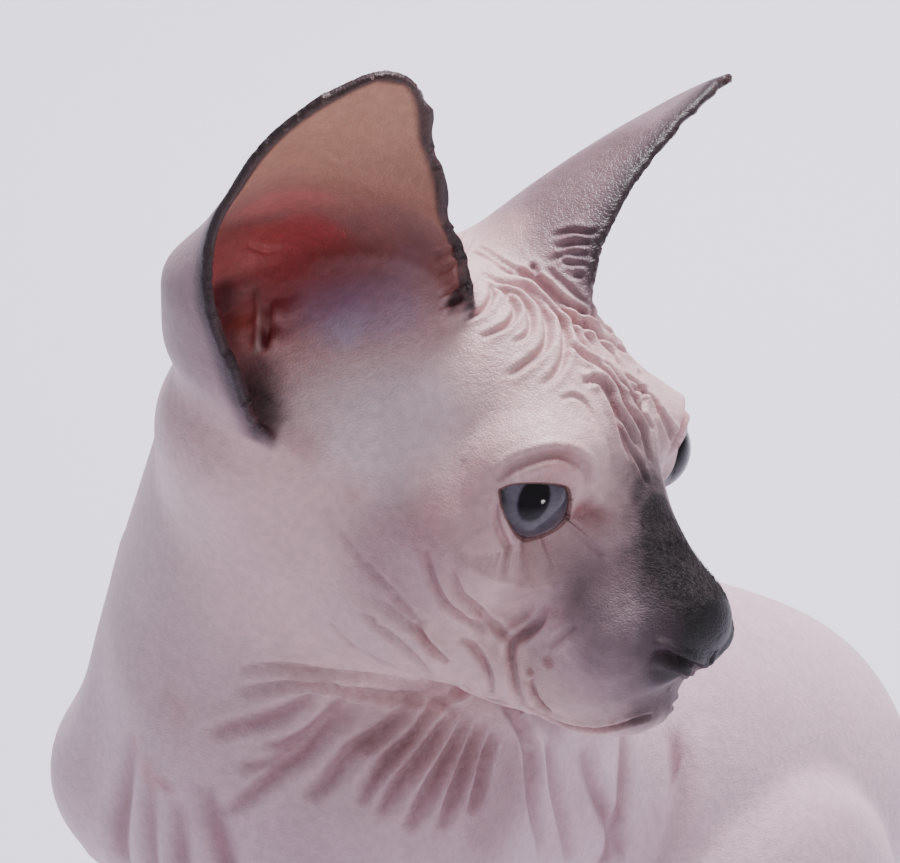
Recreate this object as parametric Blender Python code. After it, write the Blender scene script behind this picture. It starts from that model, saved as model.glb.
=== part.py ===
"""A hairless sphynx kitten, life size, sitting with its head turned to its left.

Metres, +Z up, floor at z = 0. The body faces -Y and the head faces about +X.
The whole animal is one clay of balls and tapers that melt into each other. A rough
start shape is joined from Blender primitives and remeshed, and its points are then
settled on the clay. Thin cuts part it where a person would name its parts.
"""

import math

import bmesh
import bpy
import numpy as np
from mathutils import Matrix, Vector


def mm(*values):
    """Millimetres to metres, as an array, or as one number."""
    sizes = np.array(values, float) / 1000
    return sizes if len(values) > 1 else float(sizes[0])


# The head's own frame: x forward, y to its left, z up, from the point midway between the eyes
HEAD_AT = mm(60, 4, 216)
HEAD_FORWARD = np.array([0.988, 0.051, -0.129])
HEAD_LEFT = np.array([-0.084, 0.960, -0.266])

# Eyes, in the head's frame
EYE_RADIUS = mm(9.3)
CORNEA_BULGE = mm(1.1)
EYE_AT = mm(-6.5, 15.5, 1.5)
EYE_GAZE = np.array([0.80, 0.60, 0.05])
CORNEA_SPREAD = math.radians(42)
LID_THICKNESS = mm(1.2)
LID_HALF_WIDTH = mm(7.0)
LID_RISE, LID_DROP = mm(4.2), mm(5.4)
LID_TILT = math.radians(-14)

# The line of the mouth from the middle of the front to one corner, and one nostril
MOUTH_LINE = [
    mm(22, 0, -26),
    mm(20, 4, -27.5),
    mm(16, 8, -29),
    mm(11, 12, -31.5),
    mm(5, 15, -34),
]
MOUTH_GROOVE = mm(0.6)
NOSTRIL_AT, NOSTRIL_RADII = mm(28.5, 3.2, -12), mm(2.6, 1.2, 1.1)

# Ears, in the head's frame. An ear is a curled sheet: at each share of its height it is an arc,
# whose middle lies ahead of and inside the root and which reaches outward and inward by an angle
EAR_THICKNESS = mm(1.7)
EAR_SHARES = [-0.26, -0.09, 0.06, 0.246, 0.415, 0.585, 0.8, 0.92, 0.965, 1]
EAR_RIGHT = {
    "root": mm(-47.5, -30, 0),
    "rise": mm(0, 0, 65),
    "opens": np.array([0.842, -0.540, 0]),
    "ahead": mm(-6, -3.5, -1, 0.3, 8.6, 18, 30, 33, 35, 36.7),
    "inside": mm(3, 3.7, 1.7, -0.4, 0.2, -2.2, -2.5, -0.5, -1.2, -1.8),
    "radius": mm(12, 16, 22.5, 24, 23, 21.5, 26, 26, 26, 26),
    "outward": [120, 150, 146, 131, 94, 58, 27, 18, 11, 0],
    "inward": [60, 80, 100, 100, 88, 58, 25, 17, 11, 0],
}
EAR_LEFT = {
    "root": mm(-49, 13, 20),
    "rise": mm(16, 42, 33),
    "opens": np.array([0.855, 0.290, -0.402]),
    "ahead": mm(17.8, 20.5, 21.9, 22, 22.4, 23.2, 26, 29.3, 31, 32),
    "inside": mm(0, 0, 0, 0, 0, 0, 0, 0, 0, 0),
    "radius": mm(15.8, 19.8, 22.3, 23.4, 24.3, 25.2, 27.5, 30.1, 31, 32),
    "outward": [74, 149, 133, 85, 58, 41, 25, 14, 8, 0],
    "inward": [49, 102, 98, 71, 56, 44, 29, 17, 10, 0],
}
EAR_SMOOTHING = 0.06

SEAM = mm(0.3)
START_VOXEL = mm(2.0)
LIDS_MELT, EARS_MELT, TOES_MELT, HIPS_MELT, TAIL_MELT, HEAD_MELT = mm(3, 5, 1.5, 6, 8, 10)

# Balls of the head: place, radii and how softly each melts into the rest
HEAD_BALLS = [
    (mm(-32, 0, 3), mm(31, 26, 22.5), mm(6)),
    (mm(-12, 0, 5), mm(16, 17, 13.5), mm(8)),
    (mm(24.5, 0, -12.5), mm(5, 7, 5.5), mm(5)),
    (mm(15, 0, -29), mm(10, 8.5, 7), mm(6)),
]
HEAD_PAIRED_BALLS = [
    (mm(-14, 18, -9), mm(18, 12, 12), mm(8)),
    (mm(-20, 17, -22), mm(17, 12, 17), mm(8)),
    (mm(12.5, 7.5, -18.5), mm(11, 8.5, 9), mm(5)),
    (mm(-4, 13, 8), mm(9, 9, 6), mm(6)),
    (mm(-44, 21, -5), mm(18, 16, 14), mm(10)),
    (mm(-53, 20, -14), mm(16, 18, 18), mm(10)),
]
EAR_BASE_BALLS = [
    (mm(-50, -28, -9), mm(18, 19, 16), mm(8)),
    (mm(-49, 22, 2), mm(16, 16, 14), mm(8)),
]
HEAD_TAPERS = [
    (mm(-4, 0, -10), mm(16, 0, -15), mm(15), mm(9.5), mm(8)),
    (mm(-5, 0, 0.5), mm(20, 0, -10), mm(9), mm(5.5), mm(6)),
]
HEAD_PAIRED_TAPERS = [
    (mm(-18, 15, -30), mm(12, 5, -29), mm(10), mm(8), mm(6)),
]

# Balls and tapers of the trunk and neck, in the world's frame
TRUNK_BALLS = [
    (mm(0, 14, 118), mm(40, 46, 52), mm(10)),
    (mm(0, 10, 150), mm(34, 34, 30), mm(16)),
    (mm(0, 55, 76), mm(42, 50, 48), mm(20)),
    (mm(0, 74, 79), mm(40, 46, 36), mm(20)),
    (mm(0, 106, 50), mm(45, 48, 44), mm(20)),
    (mm(0, -20, 128), mm(30, 26, 42), mm(16)),
]
NECK_TAPER = (mm(-4, -4, 160), mm(9, -6, 203), mm(38), mm(34), mm(14))

# One front leg and one hind leg, on the cat's left, as balls and tapers
FRONT_LEG_BALLS = [
    (mm(29, -13, 122), mm(16.5, 25, 36), mm(16)),
    (mm(22, -42, 9), mm(11.5, 17, 10), mm(5)),
]
FRONT_LEG_TAPERS = [
    (mm(33, -24, 116), mm(31, -8, 84), mm(17), mm(13), mm(12)),
    (mm(31, -8, 84), mm(22, -32, 22), mm(12), mm(8.2), mm(8)),
]
HIND_LEG_BALLS = [
    (mm(43, 70, 50), mm(20, 44, 42), mm(12)),
    (mm(44, 10, 8.5), mm(11.5, 18, 9.5), mm(5)),
]
HIND_LEG_TAPERS = [
    (mm(47, 36, 42), mm(42, 92, 14), mm(16), mm(9), mm(10)),
    (mm(42, 98, 9), mm(44, 22, 8.5), mm(9), mm(8.5), mm(6)),
]
TOE_RADII = mm(4.2, 7.5, 5.0)
TOE_FAN = mm(5.4)
FRONT_TOES_AT = mm(22, -54, 5.0)
HIND_TOES_AT = mm(44, -3, 5.0)

TAIL_ROUTE = [
    mm(0, 138, 24),
    mm(-26, 160, 8.6),
    mm(-60, 154, 6.8),
    mm(-82, 122, 5.4),
    mm(-88, 82, 4.1),
    mm(-83, 40, 3.0),
]
TAIL_ROOT_RADIUS, TAIL_TIP_RADIUS = mm(11), mm(3.6)
TAIL_MIDDLE, TAIL_REACH = mm(-44, 98, 10), mm(110)
HEAD_REACH = mm(125)

# The thin cuts between the named parts: the place and normal of each disc, and its radius
NECK_CUTS = [
    (mm(0, -2, 190), (0.35, 0, 0.94)),
    (mm(-1, 2, 168), (0.1, -0.3, 0.95)),
]
NECK_CUT_RADIUS, ELBOW_CUT_RADIUS, TAIL_CUT_RADIUS = mm(60, 17, 15)
ELBOW_CUT = 0.3
TAIL_CUTS = (0.18, 0.45, 0.72)
HIP_CUT = [mm(30, -3), mm(30, 46), mm(37, 84), mm(74, 104)]
HIP_CUT_SPAN = mm(12, 148)
EAR_CUTS = [
    (mm(-43, -34, 3.5), np.array([-0.28, -0.70, 0.66]), mm(46)),
    (mm(-43, 24, 14), np.array([-0.28, 0.70, 0.66]), mm(38)),
]

# Triangles kept: the head is the ball round this middle
HEAD_MIDDLE, HEAD_EXTENT = mm(-18, 0, 8), mm(78)
HEAD_FACES, BODY_FACES = 5200, 5900

SKIN_COLOUR = (0.60, 0.42, 0.42, 1)
EAR_COLOUR = (0.38, 0.22, 0.20, 1)
EYE_COLOUR = (0.10, 0.12, 0.15, 1)


def unit(vector):
    return vector / np.linalg.norm(vector)


HEAD_SIDE = unit(HEAD_LEFT - HEAD_LEFT @ unit(HEAD_FORWARD) * unit(HEAD_FORWARD))
HEAD_AXES = np.array([unit(HEAD_FORWARD), HEAD_SIDE, np.cross(unit(HEAD_FORWARD), HEAD_SIDE)])
HEAD_CENTRE = HEAD_AT - 0.25 * HEAD_REACH * HEAD_AXES[0]


def to_head(points):
    return (points - HEAD_AT) @ HEAD_AXES.T


def from_head(points):
    return points @ HEAD_AXES + HEAD_AT


PART_SPOTS = {
    "head": (from_head(mm(29, 0, -10)), SKIN_COLOUR),
    "ear_right": (from_head(mm(-40, -38, 70)), EAR_COLOUR),
    "ear_left": (from_head(mm(-33, 55, 53)), EAR_COLOUR),
    "neck": (mm(0, -36, 176), SKIN_COLOUR),
    "torso": (mm(0, -42, 130), SKIN_COLOUR),
    "leg_front_left": (mm(22, -58, 8), SKIN_COLOUR),
    "leg_front_right": (mm(-22, -58, 8), SKIN_COLOUR),
    "leg_hind_left": (mm(44, -8, 8), SKIN_COLOUR),
    "leg_hind_right": (mm(-44, -8, 8), SKIN_COLOUR),
    "tail_tip": (TAIL_ROUTE[-1], SKIN_COLOUR),
    "tail_middle": (TAIL_ROUTE[3], SKIN_COLOUR),
    "tail_base": (TAIL_ROUTE[1], SKIN_COLOUR),
}


def mirrored(place, side):
    """The place on the left (1) or the right (-1) of the head."""
    return place * np.array([1, side, 1])


def ball(points, centre, radii):
    """Distance to an ellipsoid."""
    scaled = (points - centre) / radii
    near = np.linalg.norm(scaled, axis=1)
    return near * (near - 1) / np.maximum(np.linalg.norm(scaled / radii, axis=1), 1e-9)


def taper(points, start, end, start_radius, end_radius):
    """Distance to a rod with round ends whose radius changes along it."""
    along = np.clip((points - start) @ (end - start) / np.sum((end - start) ** 2), 0, 1)
    axis = start + along[:, None] * (end - start)
    return np.linalg.norm(points - axis, axis=1) - start_radius - along * (end_radius - start_radius)


def melt(first, second, reach):
    """The union of two distances, rounded where they are closer than the reach."""
    close = np.maximum(reach - np.abs(first - second), 0) / reach
    return np.minimum(first, second) - close**2 * reach / 4


def melt_all(points, balls, tapers, clay=None):
    for centre, radii, reach in balls:
        piece = ball(points, centre, radii)
        clay = piece if clay is None else melt(clay, piece, reach)
    for start, end, start_radius, end_radius, reach in tapers:
        clay = melt(clay, taper(points, start, end, start_radius, end_radius), reach)
    return clay


def ear_frame(ear):
    """The ear's height, and its axes: upward, towards its opening, and towards its inner edge."""
    upward = unit(ear["rise"])
    opening = unit(ear["opens"] - ear["opens"] @ upward * upward)
    inward = np.cross(upward, opening) * -np.sign(ear["root"][1])
    return np.linalg.norm(ear["rise"]), upward, opening, inward


def ear_section(ear, share):
    """The arc at a share of the ear's height: its middle, its radius and its two angles, all smoothed."""
    grid = np.linspace(EAR_SHARES[0], 1, 200)
    window = np.hanning(2 * round(EAR_SMOOTHING * 200 / (1 - EAR_SHARES[0])) + 1)[1:-1]
    reach = len(window) // 2
    values = []
    for key in ("ahead", "inside", "radius", "outward", "inward"):
        table = np.interp(grid, EAR_SHARES, ear[key])
        padded = np.pad(table, reach, mode="reflect", reflect_type="odd")
        values.append(np.interp(share, grid, np.convolve(padded, window / window.sum(), "valid")))
    ahead, inside, radius, outward, inward = values
    return ahead, inside, radius, np.radians(outward), np.radians(inward)


def ear_distance(points, ear):
    """Distance to a thin sheet curled round a line, open towards one side."""
    height, upward, opening, inward = ear_frame(ear)
    offset = points - ear["root"]
    share = offset @ upward / height
    middle, inside, radius, outer, inner = ear_section(ear, share)
    back = middle - offset @ opening
    side = offset @ inward - inside
    turn = np.arctan2(side, back)
    past_edge = radius * np.maximum(np.abs(turn) - np.where(turn > 0, inner, outer), 0)
    past_end = np.maximum(np.maximum(share - 1, EAR_SHARES[0] - share), 0) * height
    wall = np.hypot(back, side) - radius
    return np.sqrt(past_edge**2 + wall**2 + past_end**2) - EAR_THICKNESS / 2


def head_clay(points):
    """The head with its ears, in the head's frame."""
    balls = HEAD_BALLS + EAR_BASE_BALLS
    tapers = list(HEAD_TAPERS)
    for side in (1, -1):
        balls += [(mirrored(at, side), radii, reach) for at, radii, reach in HEAD_PAIRED_BALLS]
        tapers += [
            (mirrored(start, side), mirrored(end, side), *sizes)
            for start, end, *sizes in HEAD_PAIRED_TAPERS
        ]
    clay = melt_all(points, balls, tapers)
    for side in (1, -1):
        lids = np.linalg.norm(points - mirrored(EYE_AT, side), axis=1) - EYE_RADIUS - SEAM - LID_THICKNESS
        clay = melt(clay, lids, LIDS_MELT)
    for ear in (EAR_RIGHT, EAR_LEFT):
        clay = melt(clay, ear_distance(points, ear), EARS_MELT)
    return clay


def leg_clay(points, balls, tapers, toes_at):
    """One leg with four toes, on the left of the body."""
    clay = melt_all(points, balls, tapers)
    for step in (-1.5, -0.5, 0.5, 1.5):
        toe = toes_at + np.array([step * TOE_FAN, abs(step) * mm(2.4), 0])
        clay = melt(clay, ball(points, toe, TOE_RADII), TOES_MELT)
    return clay


def tail_points(count=40):
    """A smooth curve through the tail's route, by Catmull-Rom splines."""
    route = [2 * TAIL_ROUTE[0] - TAIL_ROUTE[1]] + TAIL_ROUTE + [2 * TAIL_ROUTE[-1] - TAIL_ROUTE[-2]]
    places = np.linspace(0, len(TAIL_ROUTE) - 1.001, count)
    points = []
    for place in places:
        first = int(place)
        t = place - first
        a, b, c, d = route[first : first + 4]
        bend = (2 * a - 5 * b + 4 * c - d) * t**2 + (3 * b - a - 3 * c + d) * t**3
        points.append(0.5 * (2 * b + (c - a) * t + bend))
    return np.array(points)


def tail_clay(points):
    route = tail_points()
    shares = np.linspace(0, 1, len(route))
    radii = TAIL_ROOT_RADIUS + (TAIL_TIP_RADIUS - TAIL_ROOT_RADIUS) * shares**0.8
    clay = taper(points, route[0], route[1], radii[0], radii[1])
    for i in range(1, len(route) - 1):
        clay = np.minimum(clay, taper(points, route[i], route[i + 1], radii[i], radii[i + 1]))
    return clay


def where_near(points, centre, reach, distance):
    """The distance where the points are near the centre, and a plain far value elsewhere."""
    away = np.linalg.norm(points - centre, axis=1) - reach
    clay = np.maximum(away, 0) + mm(20)
    near = away < 0
    clay[near] = distance(points[near])
    return clay


def body_clay(points):
    """The whole animal."""
    clay = melt_all(points, TRUNK_BALLS, [NECK_TAPER])
    for side in (1, -1):
        folded = points * np.array([side, 1, 1])
        front = leg_clay(folded, FRONT_LEG_BALLS, FRONT_LEG_TAPERS, FRONT_TOES_AT)
        hind = leg_clay(folded, HIND_LEG_BALLS, HIND_LEG_TAPERS, HIND_TOES_AT)
        clay = melt(clay, front, np.interp(points[:, 2], [mm(60), mm(95)], [mm(2), mm(14)]))
        clay = melt(clay, hind, HIPS_MELT)
    clay = melt(clay, where_near(points, TAIL_MIDDLE, TAIL_REACH, tail_clay), TAIL_MELT)
    head = where_near(points, HEAD_CENTRE, HEAD_REACH, lambda near: head_clay(to_head(near)))
    return melt(clay, head, HEAD_MELT)


def slope(clay, points, step=mm(0.2)):
    """The clay's distance and its gradient, by central differences."""
    gradient = np.empty_like(points)
    for axis in range(3):
        shift = np.zeros(3)
        shift[axis] = step
        gradient[:, axis] = (clay(points + shift) - clay(points - shift)) / (2 * step)
    return clay(points), gradient


def new_object(name, mesh, colour, roughness=0.5):
    """An object with its own Principled material."""
    made = bpy.data.objects.new(name, mesh)
    bpy.context.scene.collection.objects.link(made)
    material = bpy.data.materials.new(name)
    material.use_nodes = True
    shader = material.node_tree.nodes["Principled BSDF"]
    shader.inputs["Base Color"].default_value = colour
    shader.inputs["Roughness"].default_value = roughness
    mesh.materials.clear()
    mesh.materials.append(material)
    mesh.shade_smooth()
    return made


def mesh_of(name, shape):
    """A bmesh turned into a mesh."""
    mesh = bpy.data.meshes.new(name)
    shape.to_mesh(mesh)
    shape.free()
    return mesh


def apply_modifiers(made):
    """The object's mesh as its modifiers leave it."""
    bpy.context.view_layer.update()
    evaluated = made.evaluated_get(bpy.context.evaluated_depsgraph_get())
    mesh = bpy.data.meshes.new_from_object(evaluated)
    made.modifiers.clear()
    made.data = mesh
    return made


def add_ball(shape, centre, radii, axes=None, detail=3):
    """An icosphere stretched to the ball's radii; the axes turn it with the head."""
    turn = Matrix(np.eye(3) if axes is None else axes.T).to_4x4()
    place = Matrix.Translation(Vector(centre)) @ turn @ Matrix.Diagonal((*radii, 1))
    bmesh.ops.create_icosphere(shape, subdivisions=detail, radius=1, matrix=place)


def add_taper(shape, start, end, start_radius, end_radius):
    """The hull round two icospheres."""
    balls = bmesh.new()
    for centre, radius in ((start, start_radius), (end, end_radius)):
        place = Matrix.Translation(Vector(centre))
        bmesh.ops.create_icosphere(balls, subdivisions=2, radius=radius, matrix=place)
    rod = bmesh.new()
    points = [rod.verts.new(point.co) for point in balls.verts]
    balls.free()
    inside = bmesh.ops.convex_hull(rod, input=points)["geom_interior"]
    bmesh.ops.delete(rod, geom=inside, context="VERTS")
    mesh = mesh_of("rod", rod)
    shape.from_mesh(mesh)
    bpy.data.meshes.remove(mesh)


def ear_start(name, ear, rows=26, columns=34, wall=mm(3.6)):
    """The ear's curled sheet as a grid, given a wall thick enough for the remesh."""
    height, upward, opening, inward = ear_frame(ear)
    shape = bmesh.new()
    grid = []
    for share in np.linspace(EAR_SHARES[0] + 0.02, 0.985, rows):
        middle, inside, radius, outer, inner = ear_section(ear, share)
        row = []
        for turn in np.linspace(-outer, inner, columns):
            place = ear["root"] + upward * share * height + opening * (middle - radius * math.cos(turn))
            place = place + inward * (inside + radius * math.sin(turn))
            row.append(shape.verts.new(from_head(place)))
        grid.append(row)
    for lower, upper in zip(grid, grid[1:]):
        for i in range(columns - 1):
            shape.faces.new((lower[i], lower[i + 1], upper[i + 1], upper[i]))
    made = new_object(name, mesh_of(name, shape), EAR_COLOUR)
    solidify = made.modifiers.new("wall", "SOLIDIFY")
    solidify.thickness = wall
    solidify.offset = 0
    return apply_modifiers(made)


def start_shape():
    """Every ball and taper as a Blender primitive, remeshed into one closed skin."""
    shape = bmesh.new()
    for centre, radii, _ in TRUNK_BALLS:
        add_ball(shape, centre, radii)
    add_taper(shape, *NECK_TAPER[:4])
    for side in (1, -1):
        flip = np.array([side, 1, 1])
        for centre, radii, _ in FRONT_LEG_BALLS + HIND_LEG_BALLS:
            add_ball(shape, centre * flip, radii)
        for start, end, start_radius, end_radius, _ in FRONT_LEG_TAPERS + HIND_LEG_TAPERS:
            add_taper(shape, start * flip, end * flip, start_radius, end_radius)
        for toes_at in (FRONT_TOES_AT, HIND_TOES_AT):
            add_ball(shape, toes_at * flip, TOE_RADII * np.array([2.6, 1, 1]))
        for centre, radii, _ in HEAD_PAIRED_BALLS:
            add_ball(shape, from_head(mirrored(centre, side)), radii, HEAD_AXES)
        for start, end, start_radius, end_radius, _ in HEAD_PAIRED_TAPERS:
            ends = from_head(mirrored(start, side)), from_head(mirrored(end, side))
            add_taper(shape, *ends, start_radius, end_radius)
        add_ball(shape, from_head(mirrored(EYE_AT, side)), np.full(3, EYE_RADIUS + LID_THICKNESS))
    for centre, radii, _ in HEAD_BALLS + EAR_BASE_BALLS:
        add_ball(shape, from_head(centre), radii, HEAD_AXES)
    for start, end, start_radius, end_radius, _ in HEAD_TAPERS:
        add_taper(shape, from_head(start), from_head(end), start_radius, end_radius)
    route = tail_points(14)
    for first, second in zip(route, route[1:]):
        add_taper(shape, first, second, TAIL_ROOT_RADIUS * 0.6, TAIL_ROOT_RADIUS * 0.6)
    for ear in (EAR_RIGHT, EAR_LEFT):
        made = ear_start("ear_start", ear)
        shape.from_mesh(made.data)
        bpy.data.objects.remove(made)
    made = new_object("cat", mesh_of("cat", shape), SKIN_COLOUR)
    remesh = made.modifiers.new("skin", "REMESH")
    remesh.mode = "VOXEL"
    remesh.voxel_size = START_VOXEL
    return apply_modifiers(made)


def neighbour_means(points, edges):
    """Each point's mean neighbour."""
    here = edges.ravel()
    there = edges[:, ::-1].ravel()
    count = np.maximum(np.bincount(here, minlength=len(points)), 1)
    total = [np.bincount(here, weights=points[there, axis], minlength=len(points)) for axis in range(3)]
    return np.stack(total, axis=1) / count[:, None]


def settle(made, clay, rounds=10, stride=mm(2)):
    """Moves the points onto the clay's surface, and evens them out along it."""
    mesh = made.data
    points = np.empty(len(mesh.vertices) * 3, np.float32)
    mesh.vertices.foreach_get("co", points)
    points = points.reshape(-1, 3).astype(float)
    edges = np.empty(len(mesh.edges) * 2, np.int32)
    mesh.edges.foreach_get("vertices", edges)
    edges = edges.reshape(-1, 2)
    for turn in range(rounds):
        distance, gradient = slope(clay, points)
        steep = np.maximum(np.sum(gradient**2, axis=1), 0.25)
        step = -distance[:, None] * gradient / steep[:, None]
        length = np.linalg.norm(step, axis=1, keepdims=True)
        points += step * np.minimum(1, stride / np.maximum(length, 1e-9))
        if turn < rounds - 2:
            normal = gradient / np.sqrt(steep)[:, None]
            drift = neighbour_means(points, edges) - points
            drift -= np.sum(drift * normal, axis=1, keepdims=True) * normal
            points += 0.5 * drift
    mesh.vertices.foreach_set("co", points.astype(np.float32).ravel())
    mesh.update()


def points_of(made):
    return np.array([vertex.co for vertex in made.data.vertices])


def near_head(made):
    """Which of the object's points are on the head or its ears."""
    return np.linalg.norm(to_head(points_of(made)) - HEAD_MIDDLE, axis=1) < HEAD_EXTENT


def triangles_in(made):
    return sum(len(face.vertices) - 2 for face in made.data.polygons)


def thin_out(made, chosen, faces):
    """Collapses edges between the chosen points until the object has this many triangles."""
    group = made.vertex_groups.new(name="chosen")
    group.add(np.flatnonzero(chosen).tolist(), 1, "REPLACE")
    decimate = made.modifiers.new("fewer faces", "DECIMATE")
    decimate.vertex_group = "chosen"
    decimate.vertex_group_factor = 0
    decimate.ratio = faces / triangles_in(made)
    apply_modifiers(made)
    made.vertex_groups.clear()


def face_outward(shape):
    """Turns the faces of a closed shape outward."""
    shape.normal_update()
    bmesh.ops.recalc_face_normals(shape, faces=shape.faces)
    if shape.calc_volume(signed=True) < 0:
        bmesh.ops.reverse_faces(shape, faces=shape.faces)


def cutter_object(name, shape):
    """A closed shape that only cuts: it isn't part of the animal."""
    face_outward(shape)
    cutter = bpy.data.objects.new(name, mesh_of(name, shape))
    bpy.context.scene.collection.objects.link(cutter)
    cutter.hide_render = True
    cutter.display_type = "WIRE"
    return cutter


def cut(made, cutters):
    """Takes the cutters out of the object, and removes them."""
    for cutter in cutters:
        boolean = made.modifiers.new(cutter.name, "BOOLEAN")
        boolean.operation = "DIFFERENCE"
        boolean.object = cutter
    apply_modifiers(made)
    for cutter in cutters:
        bpy.data.objects.remove(cutter)


def disc_cutter(name, centre, normal, radius):
    """A disc as thick as the seam."""
    shape = bmesh.new()
    turn = Vector(normal).to_track_quat("Z", "Y").to_matrix().to_4x4()
    place = Matrix.Translation(Vector(centre)) @ turn
    bmesh.ops.create_cone(
        shape, cap_ends=True, segments=40, radius1=radius, radius2=radius, depth=SEAM, matrix=place
    )
    return cutter_object(name, shape)


def bent_plate_cutter(name, profile, start, end, side):
    """A thin plate along a bent line of x and z, from one y to another, on one side of the body."""
    shape = bmesh.new()
    rings = []
    for y in (start, end):
        lower = [shape.verts.new((side * (x - SEAM / 2), y, z + SEAM / 2)) for x, z in profile]
        upper = [shape.verts.new((side * (x + SEAM / 2), y, z - SEAM / 2)) for x, z in reversed(profile)]
        rings.append(lower + upper)
    shape.faces.new(rings[0])
    shape.faces.new(rings[1])
    for i, corner in enumerate(rings[0]):
        following = (i + 1) % len(rings[0])
        shape.faces.new((corner, rings[0][following], rings[1][following], rings[1][i]))
    bmesh.ops.triangulate(shape, faces=shape.faces)
    return cutter_object(name, shape)


def eye_place(side):
    """The eye's centre and its axes as a matrix, its +Z along the gaze and +X towards the nose."""
    gaze = unit(mirrored(EYE_GAZE, side)) @ HEAD_AXES
    across = unit(np.cross(gaze, HEAD_AXES[2])) * side
    turn = Matrix(np.array([across, np.cross(gaze, across), gaze]).T).to_4x4()
    return Matrix.Translation(Vector(from_head(mirrored(EYE_AT, side)))) @ turn


def eye_shape(side, grow=0.0):
    """A ball with the cornea standing out in front."""
    shape = bmesh.new()
    bmesh.ops.create_uvsphere(shape, u_segments=20, v_segments=13, radius=1)
    for vertex in shape.verts:
        angle = vertex.co.angle(Vector((0, 0, 1)))
        rise = max(0.0, 1 - (angle / CORNEA_SPREAD) ** 2)
        vertex.co *= EYE_RADIUS + CORNEA_BULGE * rise + grow
    shape.transform(eye_place(side))
    face_outward(shape)
    return shape


def lid_opening(side, points=28):
    """The almond between the lids, as a closed rod along the gaze."""
    shape = bmesh.new()
    rings = []
    for depth in (EYE_RADIUS * 0.4, EYE_RADIUS * 1.8):
        ring = []
        for turn in np.linspace(0, 2 * math.pi, points, endpoint=False):
            along = LID_HALF_WIDTH * math.cos(turn)
            height = (LID_RISE if math.sin(turn) > 0 else LID_DROP) * math.sin(turn)
            x = along * math.cos(LID_TILT) - height * math.sin(LID_TILT)
            y = along * math.sin(LID_TILT) + height * math.cos(LID_TILT)
            ring.append(shape.verts.new((x, y * side, depth)))
        rings.append(ring)
        shape.faces.new(ring)
    for i in range(points):
        following = (i + 1) % points
        shape.faces.new((rings[0][i], rings[0][following], rings[1][following], rings[1][i]))
    shape.transform(eye_place(side))
    return shape


def on_head(place):
    """The nearest point on the head's clay."""
    spot = np.array(place, float)[None]
    for _ in range(8):
        distance, gradient = slope(head_clay, spot)
        spot = spot - distance[:, None] * gradient / np.sum(gradient**2, axis=1, keepdims=True)
    return spot[0]


def groove(name, line, radius):
    """A thin round rod laid along a line on the head's surface."""
    curve = bpy.data.curves.new(name, "CURVE")
    curve.dimensions = "3D"
    curve.bevel_depth = radius
    curve.bevel_resolution = 1
    curve.use_fill_caps = True
    spline = curve.splines.new("POLY")
    spline.points.add(len(line) - 1)
    for point, place in zip(spline.points, line):
        point.co = (*from_head(on_head(place)), 1)
    rod = bpy.data.objects.new(name, curve)
    bpy.context.scene.collection.objects.link(rod)
    bpy.context.view_layer.update()
    mesh = bpy.data.meshes.new_from_object(rod.evaluated_get(bpy.context.evaluated_depsgraph_get()))
    bpy.data.objects.remove(rod)
    shape = bmesh.new()
    shape.from_mesh(mesh)
    bmesh.ops.remove_doubles(shape, verts=shape.verts, dist=mm(0.001))
    return cutter_object(name, shape)


def smooth_line(line, count):
    """More points along a line, on a curve through them."""
    line = np.array(line)
    stations = np.linspace(0, 1, len(line))
    fits = [np.polyfit(stations, line[:, axis], min(3, len(line) - 1)) for axis in range(3)]
    return np.stack([np.polyval(fit, np.linspace(0, 1, count)) for fit in fits], axis=1)


def carve_face(made):
    """Eye sockets, the openings of the lids, the nostrils and the line of the mouth."""
    cutters = []
    for side in (1, -1):
        cutters.append(cutter_object("socket", eye_shape(side, SEAM)))
        cutters.append(cutter_object("lids", lid_opening(side)))
        nostril = bmesh.new()
        add_ball(nostril, from_head(mirrored(NOSTRIL_AT, side)), NOSTRIL_RADII, HEAD_AXES, detail=2)
        cutters.append(cutter_object("nostril", nostril))
    half = smooth_line(MOUTH_LINE, 12)
    other = [mirrored(place, -1) for place in half[:0:-1]]
    cutters.append(groove("mouth", [*other, *half], MOUTH_GROOVE))
    cut(made, cutters)


def part_cutters():
    """The thin cuts between the named parts."""
    cutters = [disc_cutter("neck", place, normal, NECK_CUT_RADIUS) for place, normal in NECK_CUTS]
    for side in (1, -1):
        flip = np.array([side, 1, 1])
        elbow, wrist = FRONT_LEG_TAPERS[1][0] * flip, FRONT_LEG_TAPERS[1][1] * flip
        down = wrist - elbow
        cutters.append(disc_cutter("elbow", elbow + ELBOW_CUT * down, down, ELBOW_CUT_RADIUS))
        cutters.append(bent_plate_cutter("hip", HIP_CUT, *HIP_CUT_SPAN, side))
    for place, normal, radius in EAR_CUTS:
        cutters.append(disc_cutter("ear", from_head(place), normal @ HEAD_AXES, radius))
    route = tail_points()
    for share in TAIL_CUTS:
        spot = int(share * (len(route) - 1))
        along = route[spot + 1] - route[spot - 1]
        cutters.append(disc_cutter("tail", route[spot], along, TAIL_CUT_RADIUS))
    return cutters


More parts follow.
